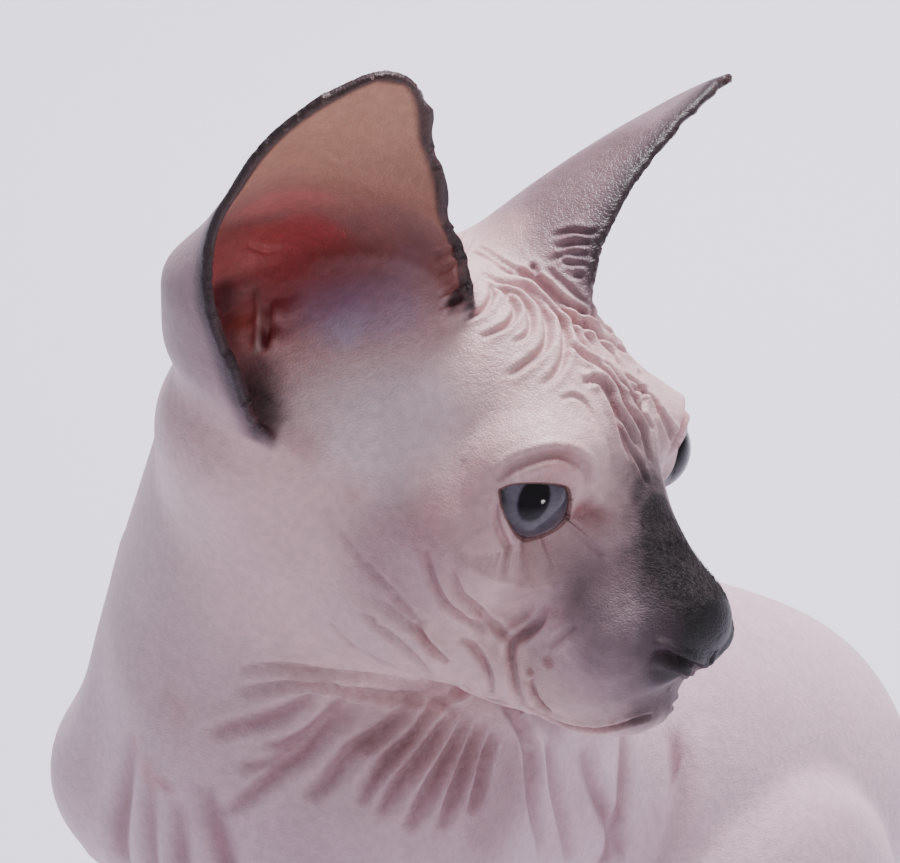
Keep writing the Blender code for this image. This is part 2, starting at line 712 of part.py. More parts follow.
def islands(made):
    """The loose pieces of a mesh, each as its own bmesh."""
    whole = bmesh.new()
    whole.from_mesh(made.data)
    bmesh.ops.triangulate(whole, faces=whole.faces)
    whole.verts.ensure_lookup_table()
    label = np.full(len(whole.verts), -1)
    pieces = 0
    for start in whole.verts:
        if label[start.index] >= 0:
            continue
        front = [start]
        label[start.index] = pieces
        while front:
            for edge in front.pop().link_edges:
                for vertex in edge.verts:
                    if label[vertex.index] < 0:
                        label[vertex.index] = pieces
                        front.append(vertex)
        pieces += 1
    found = []
    for piece in range(pieces):
        copy = whole.copy()
        copy.verts.ensure_lookup_table()
        gone = [vertex for vertex in copy.verts if label[vertex.index] != piece]
        bmesh.ops.delete(copy, geom=gone, context="VERTS")
        found.append(copy)
    whole.free()
    return found


def name_parts(made):
    """Each named part takes the largest loose piece that holds its own spot."""
    pieces = sorted(islands(made), key=lambda piece: -piece.calc_volume())
    pieces = pieces[: len(PART_SPOTS)]
    for name, (spot, colour) in PART_SPOTS.items():
        place = Vector(spot)
        nearest = min(pieces, key=lambda piece: min((vertex.co - place).length for vertex in piece.verts))
        pieces.remove(nearest)
        new_object(name, mesh_of(name, nearest), colour)
    bpy.data.objects.remove(made)


def stand_on_origin():
    """Shifts every part so that the box round all of them stands on the origin."""
    meshes = [made.data for made in bpy.data.objects]
    points = np.array([vertex.co for mesh in meshes for vertex in mesh.vertices])
    middle = (points.min(axis=0) + points.max(axis=0)) / 2
    for mesh in meshes:
        mesh.transform(Matrix.Translation((-middle[0], -middle[1], 0)))


def main():
    for old in list(bpy.data.objects):
        bpy.data.objects.remove(old)
    cat = start_shape()
    settle(cat, body_clay)
    head = near_head(cat)
    thin_out(cat, ~head, BODY_FACES + 2 * int(head.sum()))
    thin_out(cat, near_head(cat), BODY_FACES + HEAD_FACES)
    floor = bmesh.new()
    bmesh.ops.create_cube(floor, size=1, matrix=Matrix.Translation((0, 0, -0.5)))
    cut(cat, [cutter_object("floor", floor)])
    carve_face(cat)
    cut(cat, part_cutters())
    name_parts(cat)
    for name, side in (("eye_left", 1), ("eye_right", -1)):
        new_object(name, mesh_of(name, eye_shape(side)), EYE_COLOUR, 0.05)
    stand_on_origin()


if __name__ == "__main__":
    main()
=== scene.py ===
import math

import bmesh
import bpy
import numpy as np
from mathutils import Matrix, Vector
from mathutils.bvhtree import BVHTree


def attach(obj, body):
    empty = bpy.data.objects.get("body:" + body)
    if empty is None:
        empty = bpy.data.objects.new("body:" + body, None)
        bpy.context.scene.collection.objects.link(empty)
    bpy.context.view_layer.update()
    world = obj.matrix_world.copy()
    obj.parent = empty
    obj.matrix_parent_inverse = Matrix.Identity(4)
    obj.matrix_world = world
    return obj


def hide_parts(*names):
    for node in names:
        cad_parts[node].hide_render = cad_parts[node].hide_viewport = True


# A hairless kitten, sitting with its head turned to its left. All of it is shaped where the
# source's clay stands, in metres, and is moved over the origin by modelShift at the end.

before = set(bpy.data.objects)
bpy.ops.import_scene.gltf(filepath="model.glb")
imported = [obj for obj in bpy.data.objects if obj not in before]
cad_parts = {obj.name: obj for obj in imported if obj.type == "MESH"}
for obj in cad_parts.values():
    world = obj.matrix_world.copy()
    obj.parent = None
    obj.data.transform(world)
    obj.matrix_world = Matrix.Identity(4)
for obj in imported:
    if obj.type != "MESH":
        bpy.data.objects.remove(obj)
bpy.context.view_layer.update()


def mm(*values):
    # millimetres to metres, as an array, or as one number
    sizes = np.array(values, float) / 1000
    return sizes if len(values) > 1 else float(sizes[0])


def unit(vector):
    return vector / np.linalg.norm(vector)


modelShift = mm(2.1867, -54.6906, 0)

# The head's own frame: x forward, y to its left, z up, from the point midway between the eyes
headPlace = {
    "at": mm(60, 4, 216),
    "forward": np.array([0.988, 0.051, -0.129]),
    "left": np.array([-0.084, 0.960, -0.266]),
    "reach": mm(125),
    "middleBack": 0.25,  # the head's middle, as a share of its reach behind that point
    "melt": mm(10),
}
headForward = unit(headPlace["forward"])
headLeft = unit(headPlace["left"] - headPlace["left"] @ headForward * headForward)
headAxes = np.array([headForward, headLeft, np.cross(headForward, headLeft)])
headCentre = headPlace["at"] - headPlace["middleBack"] * headPlace["reach"] * headAxes[0]

# The photo's view: where the camera stands from the point it looks at, and its scale there
view = {
    "azimuth": math.radians(45),
    "elevation": math.radians(35),
    "distance": 0.6,
    "aimRight": mm(-25.8),
    "aimUp": mm(9.75),
    "pixelsPerMetre": 5970,
    "middle": np.array([450, 431.5]),
    "width": 900,
    "sensor": 36,
}
viewBack = np.array([
    math.sin(view["azimuth"]) * math.cos(view["elevation"]),
    -math.cos(view["azimuth"]) * math.cos(view["elevation"]),
    math.sin(view["elevation"]),
])
viewRight = unit(np.cross([0, 0, 1], viewBack))
viewUp = np.cross(viewBack, viewRight)
viewAim = headPlace["at"] + view["aimRight"] * viewRight + view["aimUp"] * viewUp
viewEye = viewAim + view["distance"] * viewBack

# Balls of the head: place, radii and how softly each melts into the rest
headBalls = [
    (mm(-32, 0, 3), mm(31, 26, 22.5), mm(6)),
    (mm(-12, 0, 5), mm(16, 17, 13.5), mm(8)),
    (mm(24.5, 0, -12.5), mm(5, 7, 5.5), mm(5)),
    (mm(15, 0, -30.5), mm(10, 8.5, 7), mm(6)),
    (mm(-50, -28, -9), mm(18, 19, 16), mm(8)),
    (mm(-49, 22, 2), mm(16, 16, 14), mm(8)),
]
headPairedBalls = [
    (mm(-14, 18, -9), mm(18, 12, 12), mm(8)),
    (mm(-20, 17, -22), mm(17, 12, 17), mm(8)),
    (mm(13.5, 7.5, -19), mm(12, 8.5, 9), mm(5)),
    (mm(-4, 13, 8), mm(9, 9, 6), mm(6)),
    (mm(-44, 21, -5), mm(18, 16, 14), mm(10)),
    (mm(-53, 20, -14), mm(16, 18, 18), mm(10)),
]
headTapers = [
    (mm(-4, 0, -10), mm(16, 0, -15), mm(15), mm(9.5), mm(8)),
    (mm(-5, 0, 2.5), mm(20, 0, -10.5), mm(9.3), mm(5), mm(6)),
]
headPairedTapers = [
    (mm(-18, 15, -31), mm(12, 5, -30.5), mm(10), mm(8), mm(6)),
]

# An ear is a curled sheet: at each share of its height it is an arc, whose middle lies ahead
# of and inside the root and which reaches outward and inward by an angle in degrees
earShares = [-0.26, -0.09, 0.06, 0.246, 0.415, 0.585, 0.8, 0.92, 0.965, 1]
rightEar = {
    "root": mm(-47.5, -30, 0),
    "rise": mm(0, 0, 65),
    "opens": np.array([0.842, -0.540, 0]),
    "ahead": mm(-6, -3.5, -1, 0.3, 8.6, 18, 30, 33, 35, 36.7),
    "inside": mm(3, 3.7, 1.7, -0.4, 0.2, -2.2, -2.5, -0.5, -1.2, -1.8),
    "radius": mm(12, 16, 22.5, 24, 23, 21.5, 26, 26, 26, 26),
    "outward": [120, 150, 146, 131, 94, 58, 27, 18, 11, 0],
    "inward": [60, 80, 100, 100, 88, 58, 25, 17, 11, 0],
}
leftEar = {
    "root": mm(-49, 13, 20),
    "rise": mm(16, 42, 33),
    "opens": np.array([0.855, 0.290, -0.402]),
    "ahead": mm(17.8, 20.5, 21.9, 22, 22.4, 23.2, 26, 29.3, 31, 32),
    "inside": mm(0, 0, 0, 0, 0, 0, 0, 0, 0, 0),
    "radius": mm(15.8, 19.8, 22.3, 23.4, 24.3, 25.2, 27.5, 30.1, 31, 32),
    "outward": [74, 149, 133, 85, 58, 41, 25, 14, 8, 0],
    "inward": [49, 102, 98, 71, 56, 44, 29, 17, 10, 0],
}
earSheet = {"thickness": mm(1.7), "smoothing": 0.06, "tableSteps": 200, "melt": mm(5)}

trunkBalls = [
    (mm(0, 14, 118), mm(40, 46, 52), mm(10)),
    (mm(0, 10, 150), mm(34, 34, 30), mm(16)),
    (mm(0, 55, 76), mm(42, 50, 48), mm(20)),
    (mm(0, 74, 79), mm(40, 46, 36), mm(20)),
    (mm(0, 106, 50), mm(45, 48, 44), mm(20)),
    (mm(0, -20, 128), mm(30, 26, 42), mm(16)),
]
neckTaper = (mm(-4, -4, 160), mm(9, -6, 203), mm(38), mm(34), mm(14))

# One front and one hind leg, on the cat's left
frontLeg = {
    "balls": [
        (mm(29, -13, 122), mm(16.5, 25, 36), mm(16)),
        (mm(22, -42, 9), mm(11.5, 17, 10), mm(5)),
    ],
    "tapers": [
        (mm(33, -24, 116), mm(31, -8, 84), mm(17), mm(13), mm(12)),
        (mm(31, -8, 84), mm(22, -32, 22), mm(12), mm(8.2), mm(8)),
    ],
    "toesAt": mm(22, -54, 5.0),
    # it melts on more widely the higher it is
    "meltHeights": mm(60, 95),
    "melts": mm(2, 14),
}
hindLeg = {
    "balls": [
        (mm(43, 70, 50), mm(20, 44, 42), mm(12)),
        (mm(44, 10, 8.5), mm(11.5, 18, 9.5), mm(5)),
    ],
    "tapers": [
        (mm(47, 36, 42), mm(42, 92, 14), mm(16), mm(9), mm(10)),
        (mm(42, 98, 9), mm(44, 22, 8.5), mm(9), mm(8.5), mm(6)),
    ],
    "toesAt": mm(44, -3, 5.0),
    "melt": mm(6),
}
toes = {"radii": mm(4.2, 7.5, 5.0), "fan": mm(5.4), "setBack": mm(2.4), "melt": mm(1.5)}
tail = {
    "route": [
        mm(0, 138, 24),
        mm(-26, 160, 8.6),
        mm(-60, 154, 6.8),
        mm(-82, 122, 5.4),
        mm(-88, 82, 4.1),
        mm(-83, 40, 3.0),
    ],
    "rootRadius": mm(11),
    "tipRadius": mm(3.6),
    "thinning": 0.8,
    "middle": mm(-44, 98, 10),
    "reach": mm(110),
    "melt": mm(8),
}

eye = {
    "radius": mm(9.3),
    "bulge": mm(1.1),
    "at": mm(-6.5, 15.5, 1.5),
    "gaze": np.array([0.80, 0.60, 0.05]),
    "corneaSpread": math.radians(42),
    "limbus": math.radians(46),
    "gap": mm(0.3),
    "lidThickness": mm(1.2),
    "melt": mm(3),
}
lidRadius = eye["radius"] + eye["gap"] + eye["lidThickness"]


def toHead(points):
    # from the cat's frame to the head's own
    return (points - headPlace["at"]) @ headAxes.T


def fromHead(points):
    return points @ headAxes + headPlace["at"]


def mirrored(place, side):
    # the place on the left (1) or the right (-1) of the head or body
    return place * np.array([1, side, 1])


def ball(points, centre, radii):
    # distance to an ellipsoid: (n * (n - 1)) / |p / r^2|, where n = |p / r|
    scaled = (points - centre) / radii
    near = np.linalg.norm(scaled, axis=1)
    return near * (near - 1) / np.maximum(np.linalg.norm(scaled / radii, axis=1), 1e-9)


def taper(points, start, end, startRadius, endRadius):
    # distance to a round rod: from the nearest point of its axis, less the radius there
    along = np.clip((points - start) @ (end - start) / np.sum((end - start) ** 2), 0, 1)
    axis = start + along[:, None] * (end - start)
    return np.linalg.norm(points - axis, axis=1) - startRadius - along * (endRadius - startRadius)


def melt(first, second, reach):
    # the smaller of two distances, less a fillet where they are closer than the reach
    close = np.maximum(reach - np.abs(first - second), 0) / reach
    return np.minimum(first, second) - close**2 * reach / 4


def meltAll(points, balls, tapers):
    # balls and rods melted together in turn, each with its own reach
    clay = ball(points, *balls[0][:2])
    for *shape, reach in balls[1:]:
        clay = melt(clay, ball(points, *shape), reach)
    for *shape, reach in tapers:
        clay = melt(clay, taper(points, *shape), reach)
    return clay


def earFrame(ear):
    # the ear's height, and its axes: upward, towards its opening, and towards its inner edge
    upward = unit(ear["rise"])
    opening = unit(ear["opens"] - ear["opens"] @ upward * upward)
    inward = np.cross(upward, opening) * -np.sign(ear["root"][1])
    return np.linalg.norm(ear["rise"]), upward, opening, inward


def earSection(ear, share):
    # the arc at a share of the ear's height, from its tables, smoothed by a moving window
    steps = earSheet["tableSteps"]
    grid = np.linspace(earShares[0], 1, steps)
    window = np.hanning(2 * round(earSheet["smoothing"] * steps / (1 - earShares[0])) + 1)[1:-1]
    values = []
    for key in ("ahead", "inside", "radius", "outward", "inward"):
        table = np.interp(grid, earShares, ear[key])
        padded = np.pad(table, len(window) // 2, mode="reflect", reflect_type="odd")
        values.append(np.interp(share, grid, np.convolve(padded, window / window.sum(), "valid")))
    ahead, inside, radius, outward, inward = values
    return ahead, inside, radius, np.radians(outward), np.radians(inward)


def sheetPlaces(points, ear):
    # where points lie by an ear's sheet: their share of its height, their turn round its arc
    # (inward is positive), how far they are outside its wall and past its rim, and its height
    height, upward, opening, inward = earFrame(ear)
    offset = points - ear["root"]
    share = offset @ upward / height
    ahead, inside, radius, outer, inner = earSection(ear, share)
    back = ahead - offset @ opening
    side = offset @ inward - inside
    turn = np.arctan2(side, back)
    pastRim = radius * (np.abs(turn) - np.where(turn > 0, inner, outer))
    return share, turn, np.hypot(back, side) - radius, pastRim, height


def earDistance(points, ear):
    # distance to the curled sheet: across its wall, past its rims and past its ends together
    share, turn, wall, pastRim, height = sheetPlaces(points, ear)
    pastEnd = np.maximum(np.maximum(share - 1, earShares[0] - share), 0) * height
    return np.sqrt(np.maximum(pastRim, 0) ** 2 + wall**2 + pastEnd**2) - earSheet["thickness"] / 2


def earPlaces(points, ear):
    # share, turn and wall as above for points of the skin, and how far they are short of the rim
    share, turn, wall, pastRim, height = sheetPlaces(toHead(points), ear)
    return share, turn, wall, np.minimum(-pastRim, (1 - share) * height)


def headClay(points):
    # the head's distance: skull, muzzle and jaw, the lids' balls and the ears, melted together
    balls = list(headBalls)
    tapers = list(headTapers)
    for side in (1, -1):
        balls += [(mirrored(at, side), radii, reach) for at, radii, reach in headPairedBalls]
        tapers += [
            (mirrored(start, side), mirrored(end, side), *sizes)
            for start, end, *sizes in headPairedTapers
        ]
    clay = meltAll(points, balls, tapers)
    for side in (1, -1):
        lidBall = np.linalg.norm(points - mirrored(eye["at"], side), axis=1) - lidRadius
        clay = melt(clay, lidBall, eye["melt"])
    for ear in (rightEar, leftEar):
        clay = melt(clay, earDistance(points, ear), earSheet["melt"])
    return clay


def toePlaces(leg):
    # the middles of the four toes, in a fan
    return [
        leg["toesAt"] + np.array([step * toes["fan"], abs(step) * toes["setBack"], 0])
        for step in (-1.5, -0.5, 0.5, 1.5)
    ]


def legClay(points, leg):
    # a leg's distance: its balls and rods, and then its toes
    clay = meltAll(points, leg["balls"], leg["tapers"])
    for toe in toePlaces(leg):
        clay = melt(clay, ball(points, toe, toes["radii"]), toes["melt"])
    return clay


def curve(places, at):
    # a smooth curve through the places: a cubic between each two, whose slope at a place is half
    # the step from the place before it to the one after; at counts places from the first
    route = np.vstack([2 * places[0] - places[1], places, 2 * places[-1] - places[-2]])
    first = at.astype(int)
    t = (at - first)[:, None]
    a, b, c, d = (route[first + i] for i in range(4))
    bend = (2 * a - 5 * b + 4 * c - d) * t**2 + (3 * b - a - 3 * c + d) * t**3
    return 0.5 * (2 * b + (c - a) * t + bend)


def tailPoints(count=40):
    # points along the tail's curve, from the root to just short of the last place
    places = np.array(tail["route"])
    return curve(places, np.linspace(0, len(places) - 1.001, count))


def tailClay(points):
    # distance to a row of rods along the tail's curve
    route = tailPoints()
    shares = np.linspace(0, 1, len(route)) ** tail["thinning"]
    radii = tail["rootRadius"] + (tail["tipRadius"] - tail["rootRadius"]) * shares
    clay = taper(points, route[0], route[1], radii[0], radii[1])
    for i in range(1, len(route) - 1):
        clay = np.minimum(clay, taper(points, route[i], route[i + 1], radii[i], radii[i + 1]))
    return clay


def whereNear(points, centre, reach, distance):
    # the distance where the points are near the centre, and a plain far value elsewhere
    away = np.linalg.norm(points - centre, axis=1) - reach
    clay = np.maximum(away, 0) + mm(20)
    near = away < 0
    clay[near] = distance(points[near])
    return clay


def bodyClay(points):
    # the whole cat's distance: trunk and neck, with the legs, the tail and the head melted on
    clay = meltAll(points, trunkBalls, [neckTaper])
    shoulderMelt = np.interp(points[:, 2], frontLeg["meltHeights"], frontLeg["melts"])
    for side in (1, -1):
        folded = points * np.array([side, 1, 1])
        clay = melt(clay, legClay(folded, frontLeg), shoulderMelt)
        clay = melt(clay, legClay(folded, hindLeg), hindLeg["melt"])
    clay = melt(clay, whereNear(points, tail["middle"], tail["reach"], tailClay), tail["melt"])
    head = whereNear(points, headCentre, headPlace["reach"], lambda near: headClay(toHead(near)))
    return melt(clay, head, headPlace["melt"])


def slope(distance, points, step=mm(0.15)):
    # the distance, and its gradient by forward differences
    here = distance(points)
    ahead = [distance(points + step * axis) - here for axis in np.eye(3)]
    return here, np.stack(ahead, axis=1) / step


def newObject(name, data):
    # an object at the origin, in the scene
    made = bpy.data.objects.new(name, data)
    bpy.context.scene.collection.objects.link(made)
    return made


def meshFrom(name, points, faces):
    # a mesh of an array of points and a list of faces
    mesh = bpy.data.meshes.new(name)
    mesh.from_pydata(points.tolist(), [], faces)
    mesh.update()
    return mesh


def editMesh(mesh, edit):
    # runs an edit on the mesh's edges and faces
    shape = bmesh.new()
    shape.from_mesh(mesh)
    edit(shape)
    shape.to_mesh(mesh)
    shape.free()


def readMesh(items, key, width, kind):
    # one value of every vertex, edge or face, as an array
    values = np.empty(len(items) * width, kind)
    items.foreach_get(key, values)
    return values.reshape(-1, width)


def pointsOf(mesh):
    return readMesh(mesh.vertices, "co", 3, np.float32).astype(float)


def normalsOf(mesh):
    return readMesh(mesh.vertex_normals, "vector", 3, np.float32).astype(float)


def setPoints(mesh, points):
    mesh.vertices.foreach_set("co", points.astype(np.float32).ravel())
    mesh.update()


def trianglesIn(mesh):
    return int(np.sum(readMesh(mesh.polygons, "loop_total", 1, np.int32) - 2))


def writeColours(mesh, name, colours):
    # one solid linear colour for each point
    layer = mesh.color_attributes.new(name, "FLOAT_COLOR", "POINT")
    solid = np.column_stack([colours, np.ones(len(colours))])
    layer.data.foreach_set("color", solid.astype(np.float32).ravel())


def applyModifiers(made):
    # the mesh that the modifiers make takes the place of the first one
    bpy.context.view_layer.update()
    evaluated = made.evaluated_get(bpy.context.evaluated_depsgraph_get())
    mesh = bpy.data.meshes.new_from_object(evaluated)
    made.modifiers.clear()
    made.data = mesh


def neighbourMeans(points, edges):
    # the mean of the points that each one shares an edge with
    here, there = edges.ravel(), edges[:, ::-1].ravel()
    count = np.maximum(np.bincount(here, minlength=len(points)), 1)
    total = [np.bincount(here, points[there, axis], len(points)) for axis in range(3)]
    return np.stack(total, axis=1) / count[:, None]


def noise(points, size, seed=0):
    # smooth noise from -1 to 1: values on a cubic lattice, hashed by large primes and a sine, and
    # eased between its corners
    cells = points / size + seed * 17.3
    base = np.floor(cells).astype(np.int64)
    part = cells - base
    part = part * part * (3 - 2 * part)
    total = np.zeros(len(points))
    for corner in range(8):
        step = np.array([corner & 1, corner >> 1 & 1, corner >> 2 & 1])
        place = base + step
        code = place[:, 0] * 73856093 ^ place[:, 1] * 19349663 ^ place[:, 2] * 83492791
        value = np.sin(code % 100003 * 12.9898) * 43758.5453
        weight = np.prod(np.where(step, part, 1 - part), axis=1)
        total += weight * (value - np.floor(value))
    return 2 * total - 1


def rise(value, start, end):
    # 0 before the start, 1 past the end, and smooth between them
    t = np.clip((value - start) / (end - start), 0, 1)
    return t * t * (3 - 2 * t)


def fall(value, start, end):
    # 1 before the start, 0 past the end, and smooth between them
    return rise(-value, -end, -start)


skin = {
    "grow": mm(0.4),
    "growEars": mm(1.0),
    "weld": mm(0.001),
    "voxel": mm(1.25),
    "startRounds": 6,
    "quickRounds": 3,
    # how points settle: the square of the least slope that counts, the longest step of a round,
    # and how much of the way each goes to its neighbours' mean
    "leastSlope": 0.25,
    "longestStep": mm(1.5),
    "evening": 0.5,
    # the rounds of finer faces: how far from thin folds and the eyes they reach, and from the rims
    # where the whole face and the ears have them too, and how often the points settle after
    "finer": [
        {"folds": mm(2.6), "eyes": mm(13), "rims": mm(3.2), "settle": 6},
        {"folds": mm(1.3), "eyes": mm(11), "settle": 4},
    ],
    "faceMiddle": mm(-8, 0, -5),
    "faceRadii": mm(43, 34, 35),
    "thinFold": mm(0.66),
    # which points keep all their faces, by how far they are from the ears' rims and from folds
    "keptEars": mm(60),
    "keptFolds": mm(1.5),
    "triangles": 190000,
}


def fleshStart():
    # every node grown past its thin cuts and joined, so that one closed skin comes of them; the
    # thin ears grow more, so that the skin starts outside their rims
    whole = bmesh.new()
    for name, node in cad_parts.items():
        piece = bmesh.new()
        piece.from_mesh(node.data)
        bmesh.ops.remove_doubles(piece, verts=piece.verts, dist=skin["weld"])
        mesh = bpy.data.meshes.new("grown")
        piece.to_mesh(mesh)
        piece.free()
        grow = skin["growEars"] if name.startswith("ear") else skin["grow"]
        setPoints(mesh, pointsOf(mesh) + grow * normalsOf(mesh) - modelShift)
        whole.from_mesh(mesh)
        bpy.data.meshes.remove(mesh)
    mesh = bpy.data.meshes.new("skin")
    whole.to_mesh(mesh)
    whole.free()
    made = newObject("skin", mesh)
    remesh = made.modifiers.new("one skin", "REMESH")
    remesh.mode = "VOXEL"
    remesh.voxel_size = skin["voxel"]
    applyModifiers(made)
    return made


def settle(mesh, rounds, chosen=None):
    # moves points along the clay's slope onto its surface, and evens them out along it
    points = pointsOf(mesh)
    edges = readMesh(mesh.edges, "vertices", 2, np.int32)
    chosen = np.arange(len(points)) if chosen is None else np.flatnonzero(chosen)
    for turn in range(rounds):
        distance, gradient = slope(bodyClay, points[chosen])
        steep = np.maximum(np.sum(gradient**2, axis=1), skin["leastSlope"])
        step = -distance[:, None] * gradient / steep[:, None]
        length = np.linalg.norm(step, axis=1, keepdims=True)
        moved = points[chosen] + step * np.minimum(1, skin["longestStep"] / np.maximum(length, 1e-9))
        if turn < rounds - 1:
            normal = gradient / np.sqrt(steep)[:, None]
            drift = neighbourMeans(points, edges)[chosen] - points[chosen]
            drift -= np.sum(drift * normal, axis=1, keepdims=True) * normal
            moved += skin["evening"] * drift
        points[chosen] = moved
    points[:, 2] = np.maximum(points[:, 2], 0)
    setPoints(mesh, points)


# Which points go to the ears' rims: how far from the sheet's middle, short of the rim and past it
# they may be, between which shares of the ear's height; and how far past the rim they go
rims = {
    "wall": mm(0.5),
    "short": mm(4),
    "past": mm(0.6),
    "low": -0.1,
    "fading": 0.85,
    "high": 0.93,
    "over": mm(0.8),
}


def raiseRims(points):
    # points inside an ear's sheet near its rim go along it to the rim's edge: p - g (t + e) / |g|^2,
    # where t is how far they are short of the rim, g its slope and e a little over the edge
    points = points.copy()
    for ear in (rightEar, leftEar):
        share, turn, wall, toRim = earPlaces(points, ear)
        inside = (np.abs(wall) < rims["wall"]) & (toRim < rims["short"]) & (toRim > -rims["past"])
        some = np.flatnonzero(inside & (share > rims["low"]) & (share < rims["high"]))
        head = toHead(points[some])
        short, gradient = slope(lambda spots: earPlaces(fromHead(spots), ear)[3], head, mm(0.1))
        steep = np.maximum(np.sum(gradient**2, axis=1), skin["leastSlope"])
        fade = fall(share[some], rims["fading"], rims["high"])
        head -= gradient * (fade * (short + rims["over"]) / steep)[:, None]
        points[some] = fromHead(head)
    return points


def refine(mesh, chosen):
    # splits each edge between two chosen points
    def split(shape):
        edges = [edge for edge in shape.edges if all(chosen[end.index] for end in edge.verts)]
        bmesh.ops.subdivide_edges(shape, edges=edges, cuts=1, use_grid_fill=True)

    editMesh(mesh, split)


def onFace(points, grow=1.0):
    # the points inside an ellipsoid round the face
    place = (toHead(points) - skin["faceMiddle"]) / (skin["faceRadii"] * grow)
    return np.linalg.norm(place, axis=1) < 1


def nearEyes(points, reach):
    # the points within reach of an eye's middle, and in front of it
    head = toHead(points)
    away = [np.linalg.norm(head - mirrored(eye["at"], side), axis=1) for side in (1, -1)]
    return (np.minimum(*away) < reach) & (head[:, 0] > eye["at"][0])


def nearEars(points, reach):
    # the points on the sheets of the ears that are no farther than the reach from their rims
    near = np.zeros(len(points), bool)
    for ear in (rightEar, leftEar):
        share, turn, wall, toRim = earPlaces(points, ear)
        near |= (np.abs(wall) < mm(2.2)) & (toRim < reach) & (toRim > -mm(3)) & (share > -0.15)
    return near


def awayFrom(points, line, reach):
    # which points are within reach of the line's box, how far off the line, and its nearest step
    inBox = np.all((points > line.min(axis=0) - reach) & (points < line.max(axis=0) + reach), axis=1)
    near = np.flatnonzero(inBox)
    if len(near) == 0:
        return near, np.zeros(0), np.zeros(0)
    away = np.linalg.norm(points[near, None] - line[None], axis=2)
    return near, away.min(axis=1), away.argmin(axis=1)


def nearFolds(points, folds, reach):
    # the points within reach of the thin folds
    chosen = np.zeros(len(points), bool)
    for line, width, depth in folds:
        if width < skin["thinFold"]:
            near, away, nearest = awayFrom(points, line, reach)
            chosen[near[away < reach]] = True
    return chosen


def viewRay(pixel):
    # the direction from the camera through a pixel of the photo
    offset = (np.array(pixel, float) - view["middle"]) / (view["pixelsPerMetre"] * view["distance"])
    return unit(offset[0] * viewRight - offset[1] * viewUp - viewBack)


def smoothPath(places, spacing):
    # points about this far apart on a smooth curve through the places
    places = np.array(places, float)
    length = np.sum(np.linalg.norm(np.diff(places, axis=0), axis=1))
    count = max(4, int(length / spacing))
    return curve(places, np.linspace(0, len(places) - 1.0001, count))


def castLine(tree, pixels):
    # a line drawn on the photo, laid on the skin along the camera's rays
    rays = (Vector(viewRay(pixel)) for pixel in smoothPath(pixels, 1.6))
    spots = (tree.ray_cast(Vector(viewEye), ray)[0] for ray in rays)
    return np.array([spot for spot in spots if spot is not None])


def snapLine(tree, places):
    # the spots of the skin that are nearest to the places
    return np.array([tree.find_nearest(Vector(place))[0] for place in places])


def otherSide(tree, line):
    # the line's mirror on the other side of the head, laid on the skin
    return snapLine(tree, fromHead(mirrored(toHead(line), -1)))


